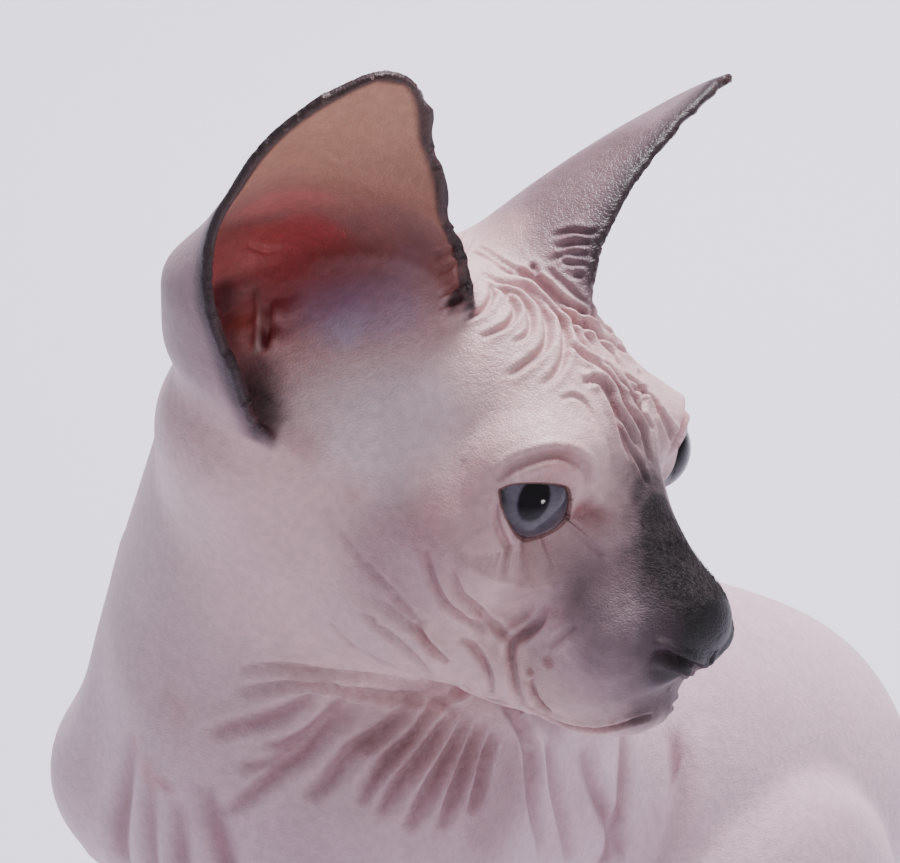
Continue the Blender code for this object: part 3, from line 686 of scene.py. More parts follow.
# Folds of the skin as lines through pixels of the photo, with the groove's half width and
# depth in mm; a paired one is on both sides of the head
foldLines = [
    # forehead, from between the ears down to the brow
    ([(472, 252), (490, 259), (506, 271), (524, 277), (536, 286), (552, 300), (568, 318), (580, 340),
      (600, 358)], 0.55, 1.05, False),
    ([(476, 246), (494, 256), (510, 267), (530, 277), (544, 290), (560, 304), (576, 322), (588, 340),
      (604, 360)], 0.5, 0.88, False),
    ([(520, 268), (540, 282), (560, 298), (580, 318), (598, 340), (610, 352),
      (626, 372)], 0.55, 0.88, False),
    ([(552, 282), (580, 308), (600, 328), (620, 348), (636, 364)], 0.5, 0.79, False),
    ([(480, 272), (500, 282), (520, 288), (532, 298), (544, 312), (548, 328), (546, 344), (538, 354),
      (520, 368), (508, 376)], 0.6, 1.14, True),
    ([(500, 289), (518, 296), (528, 308), (531, 322), (528, 334), (514, 343)], 0.5, 0.88, True),
    ([(496, 288), (506, 294), (514, 306), (515, 314), (508, 324), (496, 331), (480, 338)], 0.5, 0.96, True),
    ([(490, 284), (492, 294), (488, 304), (480, 312), (462, 320)], 0.5, 0.88, True),
    ([(476, 282), (470, 290), (458, 299), (438, 308)], 0.5, 0.88, True),
    ([(520, 284), (536, 294), (552, 310), (562, 324), (566, 338), (564, 356), (558, 370),
      (543, 386)], 0.6, 1.14, True),
    ([(567, 344), (576, 350), (588, 359), (600, 366), (610, 378), (618, 390), (624, 406), (638, 424),
      (644, 440), (650, 462)], 0.6, 1.31, False),
    ([(582, 382), (598, 381), (608, 390), (614, 408), (626, 428), (636, 446)], 0.6, 1.22, False),
    ([(600, 360), (610, 368), (620, 382), (628, 392), (634, 400), (640, 412),
      (654, 430)], 0.5, 1.05, False),
    ([(612, 352), (624, 374), (638, 386), (643, 400), (641, 414)], 0.5, 0.88, False),
    ([(630, 389), (644, 392), (654, 402), (660, 416), (668, 432), (673, 450)], 0.5, 1.05, False),
    ([(656, 410), (666, 420), (676, 440), (680, 456)], 0.5, 0.88, False),
    ([(545, 268), (566, 286), (588, 308), (610, 332), (630, 352)], 0.5, 0.7, False),
    ([(590, 372), (604, 392), (614, 416), (622, 440), (632, 462)], 0.5, 0.9, False),
    ([(606, 398), (616, 420), (628, 444), (640, 466), (648, 486)], 0.5, 0.8, False),
    ([(455, 262), (462, 276), (455, 288), (438, 296)], 0.5, 0.7, True),
    ([(436, 272), (448, 268), (462, 254), (472, 238)], 0.5, 0.6, False),
    ([(430, 258), (444, 252), (458, 240), (466, 226)], 0.5, 0.5, False),
    ([(560, 400), (574, 396), (586, 404), (594, 420)], 0.5, 0.5, True),
    # cheek and jaw
    ([(425, 548), (432, 575), (441, 595), (450, 607), (467, 617), (480, 625), (485, 634)], 0.7, 1.35, True),
    ([(450, 568), (460, 592), (472, 602), (485, 617), (500, 630), (513, 641)], 0.7, 1.35, True),
    ([(548, 606), (540, 622), (530, 631), (520, 636), (513, 643), (511, 655), (513, 672), (517, 689),
      (523, 706)], 0.75, 1.8, True),
    ([(460, 638), (472, 645), (480, 655), (486, 665), (490, 677), (491, 693)], 0.6, 1.2, True),
    ([(418, 618), (422, 635), (432, 649), (448, 663)], 0.6, 0.9, True),
    ([(461, 684), (475, 692), (490, 697), (507, 702), (524, 711)], 0.6, 1.2, True),
    ([(530, 679), (537, 697), (550, 712)], 0.5, 1.2, True),
    ([(577, 624), (562, 635), (547, 648)], 0.6, 0.52, True),
    ([(325, 515), (361, 558), (392, 590), (418, 620)], 0.7, 0.52, True),
    ([(327, 620), (350, 643), (377, 658), (397, 668)], 0.7, 0.68, True),
    ([(357, 607), (380, 627), (400, 643), (420, 663), (434, 682)], 0.7, 0.83, True),
    ([(380, 600), (400, 617), (416, 629), (428, 643), (448, 664)], 0.7, 0.83, True),
    ([(240, 669), (273, 666), (300, 668), (333, 672), (360, 673), (387, 677), (415, 687)], 0.8, 1.38, True),
    ([(238, 691), (267, 687), (293, 683), (320, 683), (347, 688), (373, 693), (407, 697), (433, 700),
      (462, 711)], 0.9, 1.88, True),
    # round the eyes
    ([(497, 500), (497, 520), (505, 542), (517, 557), (535, 565), (550, 561), (558, 551)], 0.55, 1.1, True),
    ([(496, 480), (515, 466), (540, 457), (562, 455), (582, 464), (594, 482)], 0.8, 1.0, True),
    ([(573, 523), (585, 535), (595, 547), (602, 557)], 0.6, 0.5, True),
    # the line of the mouth
    ([(652, 716), (638, 719), (618, 725), (596, 728), (572, 725), (553, 718), (538, 710),
      (524, 706)], 0.5, 1.3, True),
    # throat
    ([(320, 690), (293, 707), (267, 718), (240, 725), (207, 735)], 1.3, 1.2, True),
    ([(347, 692), (327, 713), (307, 732), (287, 742), (262, 748)], 1.2, 1.1, True),
    ([(362, 700), (327, 727), (310, 747), (293, 760), (267, 780), (247, 797), (222, 815)], 1.3, 1.2, True),
    ([(307, 735), (273, 760), (236, 768)], 1.1, 0.7, True),
    ([(407, 705), (380, 730), (350, 750), (327, 780), (305, 799)], 1.3, 1.4, False),
    ([(433, 705), (413, 733), (393, 753), (373, 780), (358, 805)], 1.2, 1.4, False),
    ([(447, 711), (430, 740), (413, 763), (393, 787), (378, 815)], 1.2, 1.5, False),
    ([(463, 718), (450, 747), (433, 777), (420, 803), (405, 832)], 1.2, 1.5, False),
    ([(477, 724), (467, 750), (457, 777), (450, 800), (440, 830)], 1.2, 1.4, False),
    ([(493, 730), (483, 757), (477, 787), (470, 815)], 1.2, 1.2, False),
    ([(523, 733), (527, 767), (533, 807), (543, 850)], 1.6, 1.3, False),
    ([(545, 742), (550, 773), (560, 813), (572, 860)], 1.6, 1.2, False),
    ([(580, 750), (593, 787), (607, 820), (625, 862)], 1.8, 1.0, False),
    # the near ear: its pocket, with a ridge beside it, and a fold of the hollow
    ([(269, 300), (268, 316), (266, 334), (264, 352)], 0.65, 1.0, False),
    ([(256, 290), (258, 312), (257, 332), (256, 350)], 0.6, -0.7, False),
    ([(246, 243), (256, 248), (268, 251), (282, 247)], 0.6, -0.6, False),
    # the wrinkles at the root of the far ear
    ([(552, 236), (572, 231), (590, 233), (604, 230)], 0.55, 0.6, False),
    ([(556, 249), (578, 243), (603, 245)], 0.55, 0.6, False),
    ([(548, 262), (566, 254), (584, 256), (603, 255)], 0.55, 0.5, False),
    ([(560, 262), (580, 264), (602, 268)], 0.55, 0.6, False),
    ([(572, 274), (588, 278), (600, 284)], 0.55, 0.5, False),
]

# Creases of the body, on the cat's left and its right, through places in mm
bodyLines = [
    ([(46, -2, 96), (38, -22, 84), (24, -30, 88), (14, -36, 98)], 2.4, 1.6),
    ([(47, -8, 106), (40, -28, 96), (27, -40, 100)], 2.2, 1.0),
    ([(54, 38, 88), (50, 52, 106), (40, 62, 122)], 2.6, 1.2),
    ([(50, 26, 94), (46, 40, 114), (36, 48, 128)], 2.4, 0.9),
    ([(40, 20, 60), (44, 30, 84), (44, 40, 98)], 2.4, 1.4),
    ([(58, 60, 30), (60, 80, 34), (52, 100, 30)], 2.2, 0.8),
    ([(22, -20, 176), (34, 2, 160), (36, 20, 140)], 2.8, 0.9),
    ([(16, 24, 178), (30, 32, 152), (34, 40, 132)], 2.6, 0.8),
    ([(10, -46, 150), (16, -44, 124), (18, -38, 100)], 2.6, 1.1),
    ([(4, -48, 144), (5, -48, 120), (6, -42, 96)], 2.4, 0.9),
    ([(14, 128, 40), (26, 138, 52), (30, 132, 68)], 2.6, 0.9),
]

# The nostrils through pixels of the photo, and the two grooves under the nose and down the chin
# through places in the head's frame; half width and depth in mm
nostril = {
    "pixels": [(652, 652), (664, 654), (678, 660), (690, 664), (698, 668)],
    "width": 0.75,
    "depth": 2.0,
}
middleGrooves = [
    ([(31, 0, -14), (29.5, 0, -18), (27, 0, -22), (23, 0, -26)], 0.4, 0.8),
    ([(24, 0, -27), (24, 0, -31), (20, 0, -36)], 0.8, 0.25),
]


def laidFolds(tree):
    # every groove as points on the skin, with its half width and depth in metres
    folds = []
    hole = (nostril["pixels"], nostril["width"], nostril["depth"], True)
    for pixels, width, depth, paired in [*foldLines, hole]:
        line = castLine(tree, pixels)
        folds.append((line, mm(width), mm(depth)))
        if paired:
            folds.append((otherSide(tree, line), mm(width), mm(depth)))
    for places, width, depth in middleGrooves:
        line = snapLine(tree, smoothPath(fromHead(np.array(places) / 1000), mm(0.3)))
        folds.append((line, mm(width), mm(depth)))
    for places, width, depth in bodyLines:
        for side in (1, -1):
            line = smoothPath(np.array(places) / 1000 * np.array([side, 1, 1]), mm(0.8))
            folds.append((snapLine(tree, line), mm(width), mm(depth)))
    return folds


# A groove's section: how far it reaches, and its raised lip's place and width, in half widths of
# the groove, and the lip's height as a share of the depth
grooveShape = {"reach": 4, "lipAt": 2.1, "lipWidth": 1.1, "lip": 0.5}


def foldHeights(points, folds):
    # each groove is a bell curve that fades at its ends, with a lower lip on either side, and a
    # negative depth makes a ridge; also how deep in a crease each point lies, from 0 to 1, which
    # sets the painted shade in the creases
    height = np.zeros(len(points))
    creaseShade = np.zeros(len(points))
    for line, width, depth in folds:
        near, away, nearest = awayFrom(points, line, grooveShape["reach"] * width)
        distance = away / width
        share = nearest / (len(line) - 1)
        fade = np.sqrt(np.clip(4 * share * (1 - share), 0, 1))
        bell = np.exp(-(distance**2))
        lip = np.exp(-(((distance - grooveShape["lipAt"]) / grooveShape["lipWidth"]) ** 2))
        height[near] += depth * fade * (grooveShape["lip"] * lip - bell)
        creaseShade[near] = np.maximum(creaseShade[near], fade * bell * min(1, depth / mm(1)))
    return height, creaseShade


# The opening between the lids, as pixels of the photo round the near eye; the other is its mirror
lids = {
    "outline": [
        (497, 489), (509, 484), (524, 482), (545, 482), (562, 484), (571, 489), (573, 503), (571, 517),
        (565, 530), (555, 541), (541, 548), (528, 546), (516, 538), (507, 524), (500, 506),
    ],
    # the lid's edge above the eyeball and over its clear front, and how far round the opening the
    # lid thins
    "edge": mm(0.7),
    "overCornea": mm(0.25),
    "reach": mm(4.5),
    # how far outside the lids' balls points are pressed, and are taken out
    "pressed": mm(6),
    "takenOut": mm(2),
    # each ring of the edge: its share of that height, and how far it lies towards the middle
    "rings": [(0.6, mm(0.10)), (0.1, mm(0.16)), (-1.2, mm(0.16))],
    "outerShade": 0.3,
}


def eyeAxes(side):
    # towards the nose, up, and along the gaze, in the head's frame
    gaze = unit(mirrored(eye["gaze"], side))
    across = unit(np.cross(gaze, [0, 0, 1])) * side
    return np.array([across, np.cross(gaze, across) * -side, gaze])


def corneaHeight(angle):
    # the eye's radius, and a bulge that falls off with the square of the angle to the gaze
    return eye["radius"] + eye["bulge"] * np.maximum(0, 1 - (angle / eye["corneaSpread"]) ** 2)


def edgeHeight(forward):
    # how far from the eye's middle the lid's edge stands, by the cosine of the angle to the gaze
    clear = corneaHeight(np.arccos(np.clip(forward, -1, 1)))
    return np.maximum(eye["radius"] + lids["edge"], clear + lids["overCornea"])


def lidOutline():
    # where the rays through the outline's pixels meet the near eye's lid, in its axes
    centre = fromHead(mirrored(eye["at"], -1))
    radius = eye["radius"] + lids["edge"]
    offset = viewEye - centre
    spots = []
    for pixel in smoothPath(lids["outline"] + lids["outline"][:1], 1.5)[:-1]:
        ray = viewRay(pixel)
        along = offset @ ray
        reach = along**2 - offset @ offset + radius**2
        spot = offset - (along + math.sqrt(max(reach, 0))) * ray
        spots.append((eyeAxes(-1) @ (headAxes @ spot))[:2] / radius)
    return smoothPath(np.array(spots + spots[:1]), 0.01)


def insideOutline(points, outline):
    # counts the outline's edges that a ray to the right of each point crosses
    inside = np.zeros(len(points), bool)
    for start, end in zip(outline, np.roll(outline, -1, axis=0)):
        spans = (start[1] > points[:, 1]) != (end[1] > points[:, 1])
        share = (points[:, 1] - start[1]) / (end[1] - start[1] + 1e-12)
        inside ^= spans & (points[:, 0] < start[0] + (end[0] - start[0]) * share)
    return inside


def pressLids(points, outline):
    # round the opening the lid thins towards the eyeball
    points = points.copy()
    for side in (1, -1):
        local = (toHead(points) - mirrored(eye["at"], side)) @ eyeAxes(side).T
        far = np.linalg.norm(local, axis=1)
        near = np.flatnonzero((far < lidRadius + lids["pressed"]) & (local[:, 2] > 0))
        direction = local[near] / far[near, None]
        away = np.linalg.norm(direction[:, None, :2] - outline[None], axis=2).min(axis=1) * lidRadius
        away[insideOutline(direction, outline)] = 0
        lower = np.minimum(edgeHeight(direction[:, 2]) - far[near], 0)
        local[near] += direction * (lower * fall(away, 0, lids["reach"]))[:, None]
        points[near] = fromHead(local[near] @ eyeAxes(side) + mirrored(eye["at"], side))
    return points


def openLid(shape, rimLayer, side, outline):
    # takes out the faces between one eye's lids, snaps the rim to the outline, and turns it inward
    axes = eyeAxes(side)
    centre = mirrored(eye["at"], side)
    middle = outline.mean(axis=0)
    local = (toHead(np.array([vertex.co for vertex in shape.verts])) - centre) @ axes.T
    far = np.linalg.norm(local, axis=1)
    near = (far < lidRadius + lids["takenOut"]) & (local[:, 2] > 0)
    gone = near & insideOutline(local / far[:, None], outline)
    shape.verts.ensure_lookup_table()
    bmesh.ops.delete(shape, geom=[shape.verts[i] for i in np.flatnonzero(gone)], context="VERTS")
    rim = [edge for edge in shape.edges if edge.is_boundary and edge.verts[0][rimLayer] == 0]

    def place(vertex, height, inward):
        spot = axes @ (toHead(np.array(vertex.co)) - centre)
        spot = spot[:2] / np.linalg.norm(spot)
        if height == 1:
            spot = outline[np.linalg.norm(outline - spot, axis=1).argmin()]
        spot = spot + unit(middle - spot) * inward / lidRadius
        direction = np.array([*spot, math.sqrt(max(1 - spot @ spot, 0))])
        floor = float(corneaHeight(math.acos(direction[2])))
        radius = floor + height * (float(edgeHeight(direction[2])) - floor)
        vertex.co = Vector(fromHead(direction @ axes * radius + centre))

    for vertex in {vertex for edge in rim for vertex in edge.verts}:
        place(vertex, 1, 0)
        vertex[rimLayer] = lids["outerShade"]
    for height, inward in lids["rings"]:
        grown = bmesh.ops.extrude_edge_only(shape, edges=rim)["geom"]
        for vertex in (item for item in grown if isinstance(item, bmesh.types.BMVert)):
            place(vertex, height, inward)
            vertex[rimLayer] = 1
        rim = [item for item in grown if isinstance(item, bmesh.types.BMEdge) and item.is_boundary]


def openLids(mesh, outline):
    # opens both eyes, and marks the lids' edges for their colour
    def openBoth(shape):
        rimLayer = shape.verts.layers.float.new("lidRim")
        for side in (1, -1):
            openLid(shape, rimLayer, side, outline)

    editMesh(mesh, openBoth)


def thinBody(made, kept, triangles):
    # collapses edges away from the kept points, where the skin is smooth, to so many triangles
    group = made.vertex_groups.new(name="body")
    group.add(np.flatnonzero(~kept).tolist(), 1, "REPLACE")
    decimate = made.modifiers.new("fewer faces on the body", "DECIMATE")
    decimate.vertex_group = "body"
    decimate.vertex_group_factor = 1
    decimate.ratio = triangles / trianglesIn(made.data)
    applyModifiers(made)
    made.vertex_groups.clear()


def hexColour(code):
    # sRGB hex to linear
    values = np.array([int(code[i:i + 2], 16) / 255 for i in (1, 3, 5)])
    return np.where(values < 0.04045, values / 12.92, ((values + 0.055) / 1.055) ** 2.4)


def blend(colours, code, amount):
    # each point's colour, moved towards the hex colour by its amount
    return colours + (hexColour(code) - colours) * np.clip(amount, 0, 1)[:, None]


coat = {
    # the crease colour is painted shade, laid into the skin's folds by how deep in them each point lies
    "face": "#D9B4B6", "body": "#D2B2BE", "neck": "#C4A4AA", "creaseShade": "#85525A",
    "mask": "#241C21", "maskEdge": "#62505A", "muzzle": "#8A727C", "nose": "#141014",
    "lidRim": "#6E4744", "points": "#75646C",
    # the tan of the ear's top is a painted glow of light shining through the thin ear
    "earBack": "#987C84", "earRim": "#33272C", "earTopGlow": "#BE8A74", "earMiddle": "#BC8680",
    "earBand": "#54424A", "concha": "#C4585E", "conchaDeep": "#8C3440", "lilac": "#B0A6C8",
}

# The dark mask, as pixels of the photo with a radius in mm and a strength, on both sides
maskSpots = [
    ((656, 492), 4.5, 0.8), ((662, 516), 5.5, 1.0), ((668, 545), 6.5, 1.0), ((672, 570), 7.5, 1.0),
    ((662, 590), 6.0, 1.0), ((684, 600), 8.0, 1.0), ((700, 630), 9.0, 1.0), ((668, 625), 6.0, 1.0),
    ((680, 660), 7.5, 1.0), ((650, 555), 4.0, 0.8), ((655, 650), 4.0, 0.8), ((676, 690), 5.5, 0.55),
    ((650, 470), 4.5, 0.45), ((636, 440), 4.0, 0.3), ((640, 520), 4.0, 0.35), ((634, 600), 4.5, 0.4),
    ((645, 690), 6.0, 0.45), ((620, 400), 3.5, 0.2), ((612, 650), 6.5, 0.38), ((604, 596), 6.0, 0.6),
    ((590, 620), 5.0, 0.25), ((640, 570), 5.0, 0.6), ((632, 625), 6.0, 0.5),
]

# Marks seen on the photo: pixel, radius in mm, colour, strength, and whether both sides have it
marks = [
    ((358, 462), 0.7, "#A0463C", 0.8, False),
    ((353, 490), 1.2, "#B8754E", 0.45, False),
    ((310, 440), 3.5, "#A8605E", 0.5, True),
    ((150, 775), 3.2, "#B06A66", 0.55, False),
    ((135, 745), 2.5, "#B4706C", 0.4, False),
    ((168, 785), 2.0, "#A05A58", 0.55, False),
    ((175, 715), 3.5, "#B87C7A", 0.35, False),
    # the corner of the eye, with painted shade in its recess, the brow, the hollow under the eye,
    # the cheek
    ((583, 512), 3.0, "#7A3E3E", 0.75, True),
    ((596, 520), 2.0, "#8A5050", 0.5, True),
    ((560, 470), 5.0, "#C48284", 0.4, True),
    ((530, 585), 7.0, "#9A757A", 0.45, True),
    ((590, 560), 6.0, "#8C7078", 0.4, True),
    ((600, 590), 7.0, "#7C666E", 0.5, True),
    ((548, 663), 1.2, "#7A3E3C", 0.6, True),
    ((530, 672), 0.8, "#7A3E3C", 0.6, True),
    ((445, 480), 9.0, "#C48C90", 0.35, True),
    ((350, 395), 12.0, "#EDD4D8", 0.55, True),
    ((620, 655), 9.0, "#84707A", 0.45, True),
    # painted shade on the throat under the jaw, and the head's painted shadow on the chest below it
    ((400, 728), 8.0, "#7E5A5E", 0.55, False),
    ((350, 715), 6.0, "#8A666A", 0.4, False),
    ((460, 745), 8.0, "#86646A", 0.45, False),
    ((500, 800), 14.0, "#8E666E", 0.7, False),
    ((430, 800), 11.0, "#A47C84", 0.4, False),
    ((570, 800), 13.0, "#AE8A94", 0.4, False),
    # inside the near ear; the tan marks near its top are a painted glow of light shining through it
    ((350, 110), 13.0, "#C08A72", 0.6, False),
    ((400, 175), 10.0, "#AC7C6E", 0.5, False),
    ((425, 235), 8.0, "#9A7878", 0.5, False),
    ((264, 205), 6.0, "#E08C8A", 0.7, False),
    ((290, 200), 8.0, "#DA8882", 0.7, False),
    ((305, 232), 7.5, "#DE6E72", 0.85, False),
    ((270, 236), 6.5, "#DC7474", 0.8, False),
    ((288, 264), 6.0, "#D0666C", 0.8, False),
    ((330, 300), 9.0, "#C2BAE2", 0.65, False),
    ((375, 300), 9.0, "#BCB2D8", 0.6, False),
    ((343, 328), 4.5, "#D4D2F0", 0.8, False),
    ((282, 304), 3.4, "#93404A", 0.8, False),
    ((268, 334), 2.8, "#7C2A34", 0.85, False),
    ((240, 322), 3.2, "#B06A50", 0.75, False),
    ((252, 372), 4.0, "#4A3C42", 0.7, False),
    ((260, 398), 5.0, "#2A2227", 0.9, False),
    ((268, 425), 3.6, "#362B31", 0.75, False),
    # the far ear's back
    ((580, 185), 15.0, "#6E545A", 0.75, False),
    ((640, 145), 9.0, "#6A5056", 0.75, False),
    ((575, 245), 7.0, "#8C7078", 0.45, False),
    ((505, 232), 6.0, "#C8A0A0", 0.6, False),
    # painted shade on the cheek, and painted light on the temple
    ((395, 560), 13.0, "#A47E86", 0.6, True),
    ((455, 540), 9.0, "#B4888E", 0.45, True),
    ((400, 425), 13.0, "#F2DCE2", 0.6, True),
]

# Strokes along lines of pixels: half width in mm, colour and strength
strokes = [
    ([(224, 290), (223, 312), (226, 340), (234, 372), (246, 402), (258, 425)], 2.4, "#54434A", 0.6),
    ([(256, 290), (258, 312), (257, 332), (256, 350)], 0.8, "#B0A098", 0.75),
]


# Balls of colour: middle and radii, and how many radii out each is still full and is gone; the
# neck's is in the cat's frame, the others in the head's
colourBalls = {
    "face": (mm(-20, 0, -5), mm(62, 60, 56), 0.85, 1.15),
    "muzzle": (mm(13, 0, -20), mm(17, 16, 14), 0.7, 1.4),
    "nose": (mm(29.5, 0, -11), mm(6, 8.5, 6.5), 0.9, 1.05),
    "neck": (mm(2, -2, 178), mm(60, 60, 42), 0.7, 1.3),
}

# The ears' colours: the shares of the height between which each comes in or goes out, and its
# strength; the lilac patch has a middle and half sizes, as a share and in degrees of the arc
earPaint = {
    "earBack": (-0.1, 0.2, 1), "points": (0.35, 0.95, 0.7),
    "earMiddle": (0.02, 0.22, 1), "earTopGlow": (0.35, 0.7, 1),
    "concha": (0.16, 0.42, 0.85), "conchaDeep": (-0.04, 0.12, 0.8),
    "lilac": (0.05, 0.14, 42, 38, 0.85),
}

# Roughness of the skin, the dark mask, the nose's leather and the lids' edges
sheen = {"skin": 0.44, "mask": 0.78, "nose": 0.48, "lids": 0.16}


def inBall(points, name, jitter=0):
    # how much of a ball's colour each point has
    centre, radii, full, gone = colourBalls[name]
    return fall(np.linalg.norm((points - centre) / radii, axis=1) + jitter, full, gone)


def spotsOf(tree, pixel, paired):
    # where the camera's ray through a pixel meets the skin, and that spot's mirror, with normals
    spot, normal = tree.ray_cast(Vector(viewEye), Vector(viewRay(pixel)))[:2]
    if spot is None:
        print("no skin behind pixel", pixel)
        return []
    spots = [(np.array(spot), np.array(normal))]
    if paired:
        mirror = fromHead(mirrored(toHead(spots[0][0]), -1))
        spot, normal = tree.find_nearest(Vector(mirror))[:2]
        spots.append((np.array(spot), np.array(normal)))
    return spots


def paintHead(points, colours, creaseShade, tree):
    # pink face with painted shade in its creases, grey muzzle, the dark mask with its grey edge,
    # and the nose; also the roughness
    head = toHead(points)
    colours = blend(colours, coat["face"], inBall(head, "face"))
    # painted shade in the creases of the face
    colours = blend(colours, coat["creaseShade"], creaseShade * 0.8)
    jitter = noise(points, mm(0.9), 3) * 0.05 + noise(points, mm(4), 4) * 0.08
    grey = np.zeros(len(points))
    dark = np.zeros(len(points))
    for pixel, radius, strength in maskSpots:
        for place, normal in spotsOf(tree, pixel, True):
            away = np.linalg.norm(points - place, axis=1) / mm(radius) + jitter
            dark = np.maximum(dark, strength * fall(away, 0.6, 1.3))
            grey = np.maximum(grey, strength * fall(away, 0.9, 2.1))
    colours = blend(colours, coat["muzzle"], 0.7 * inBall(head, "muzzle", jitter))
    colours = blend(colours, coat["maskEdge"], 0.75 * grey)
    colours = blend(colours, coat["mask"], dark)
    leather = inBall(head, "nose", 0.3 * jitter)
    rough = sheen["skin"] + (sheen["mask"] - sheen["skin"]) * dark
    return blend(colours, coat["nose"], leather), rough + (sheen["nose"] - rough) * leather


def paintMarks(points, normals, colours, tree):
    # the marks as soft uneven spots on the side that faces their way, then the strokes
    for pixel, radius, code, strength, paired in marks:
        for place, facing in spotsOf(tree, pixel, paired):
            away = np.linalg.norm(points - place, axis=1) / mm(radius)
            away += 0.25 * noise(points, mm(radius * 0.7), 9)
            sameSide = rise(normals @ facing, -0.2, 0.3)
            colours = blend(colours, code, strength * fall(away, 0.3, 1.4) * sameSide)
    for pixels, width, code, strength in strokes:
        near, away, nearest = awayFrom(points, castLine(tree, pixels), mm(2 * width))
        amount = np.zeros(len(points))
        amount[near] = strength * fall(away / mm(width), 0.4, 1.4)
        colours = blend(colours, code, amount)
    return colours


def paintEar(points, colours, ear, creaseShade):
    # the back from its root up, and the hollow from its red depth over lilac to the tan top, where
    # the tan is a painted glow of light shining through the ear
    share, turn, wall, toRim = earPlaces(points, ear)
    turn = np.degrees(turn)
    sheet = fall(np.abs(wall), mm(1.6), mm(2.6)) * rise(toRim, -mm(3), -mm(1)) * rise(share, -0.2, -0.05)
    inner = sheet * fall(wall, -mm(0.25), mm(0.2))
    outer = sheet - inner
    jitter = 0.05 * noise(points, mm(5), 6)
    outward = fall(turn, -40, 40)
    for name, place, side, change in [
        ("earBack", share, outer, rise),
        ("points", share + jitter, outer, rise),
        ("earMiddle", share + jitter, inner, rise),
        ("earTopGlow", share + jitter, inner, rise),
        ("concha", share - jitter, inner * outward, fall),
        ("conchaDeep", share - jitter, inner * outward, fall),
    ]:
        start, end, strength = earPaint[name]
        colours = blend(colours, coat[name], side * change(place, start, end) * strength)
    middle, half, middleTurn, halfTurn, strength = earPaint["lilac"]
    lilac = np.hypot((share - middle) / half, (turn - middleTurn) / halfTurn)
    colours = blend(colours, coat["lilac"], inner * fall(lilac, 0.2, 1.3) * strength)
    # painted shade in the folds of the hollow, in its deep red
    return blend(colours, coat["conchaDeep"], inner * creaseShade * 0.5)


def paintRim(points, colours, ear):
    # a grey band along the back's rim, and the dark rim itself, which is wider at the tip
    share, turn, wall, toRim = earPlaces(points, ear)
    beyond = np.where(share > 0.6, 1, rise(toRim, -mm(3), -mm(1)))
    root = rise(share, -0.12, 0.05) * np.where(turn > 0, rise(share, 0.06, 0.22), 1)
    sheet = fall(np.abs(wall), mm(1.6), mm(2.6)) * beyond * root
    band = sheet * rise(wall, -mm(0.25), mm(0.2)) * fall(toRim, mm(2), mm(5.5))
    colours = blend(colours, coat["earBand"], band * 0.85)
    wide = mm(2.2) * rise(share, 0.8, 0.97)
    return blend(colours, coat["earRim"], sheet * fall(toRim, mm(0.6) + wide, mm(2.4) + wide) * 0.9)


def paintBody(points):
    # pink, with a darker neck, and grey feet and tail
    colours = np.tile(hexColour(coat["body"]), (len(points), 1))
    colours = blend(colours, coat["neck"], inBall(points, "neck"))
    feet = fall(points[:, 2], mm(4), mm(34)) * fall(points[:, 1], -mm(10), mm(30))
    colours = blend(colours, coat["points"], feet * 0.6)
    route = tailPoints(60)
    near = np.linalg.norm(points - tail["middle"], axis=1) < tail["reach"]
    away = np.linalg.norm(points[near, None] - route[None], axis=2)
    share = away.argmin(axis=1) / (len(route) - 1)
    onTail = np.zeros(len(points))
    onTail[near] = fall(away.min(axis=1), mm(11), mm(13)) * rise(share, 0.06, 0.5)
    return blend(colours, coat["points"], onTail * 0.85)


def paintSkin(made, folds, tree):
    # colours and roughness of every point, with painted shade in the folds; the nose and the lids'
    # edges are moist
    mesh = made.data
    points = pointsOf(mesh)
    normals = normalsOf(mesh)
    creaseShade = foldHeights(points, folds)[1]
    # painted shade in every fold; the head gets more of it below
    colours = blend(paintBody(points), coat["creaseShade"], creaseShade * 0.3)
    near = np.linalg.norm(points - headCentre, axis=1) < headPlace["reach"]
    some = points[near]
    painted, roughNear = paintHead(some, colours[near], creaseShade[near], tree)
    for ear in (rightEar, leftEar):
        painted = paintEar(some, painted, ear, creaseShade[near])
    painted = paintMarks(some, normals[near], painted, tree)
    for ear in (rightEar, leftEar):
        painted = paintRim(some, painted, ear)
    colours[near] = painted
    rim = readMesh(mesh.attributes["lidRim"].data, "value", 1, np.float32)[:, 0]
    colours = blend(colours, coat["lidRim"], rim.astype(float) * 0.9)
    patches = 1 + 0.05 * noise(points, mm(9), 1) + 0.05 * noise(points, mm(2.5), 2)
    writeColours(mesh, "skinColour", np.clip(colours * patches[:, None], 0, 1))
    rough = np.full(len(points), sheen["skin"])
    rough[near] = roughNear
    rough += (sheen["lids"] - rough) * rim
    roughLayer = mesh.attributes.new("skinRoughness", "FLOAT", "POINT")
    roughLayer.data.foreach_set("value", rough.astype(np.float32))


def addNode(material, kind, links=None, **settings):
    # one node with its settings; links gives what feeds each of its inputs
    tree = material.node_tree
    node = tree.nodes.new(kind)
    for key, value in settings.items():
        if hasattr(node, key):
            setattr(node, key, value)
        else:
            node.inputs[key.replace("_", " ")].default_value = value
    for socket, source in (links or {}).items():
        tree.links.new(source, node.inputs[socket])
    return node


def newMaterial(name, roughness, ior=1.45, colour="#808080"):
    # a material by its roughness, its index and an sRGB hex colour
    material = bpy.data.materials.new(name)
    material.use_nodes = True
    shader = material.node_tree.nodes["Principled BSDF"]
    shader.inputs["Base Color"].default_value = (*hexColour(colour), 1)
    shader.inputs["Roughness"].default_value = roughness
    shader.inputs["IOR"].default_value = ior
    return material, shader


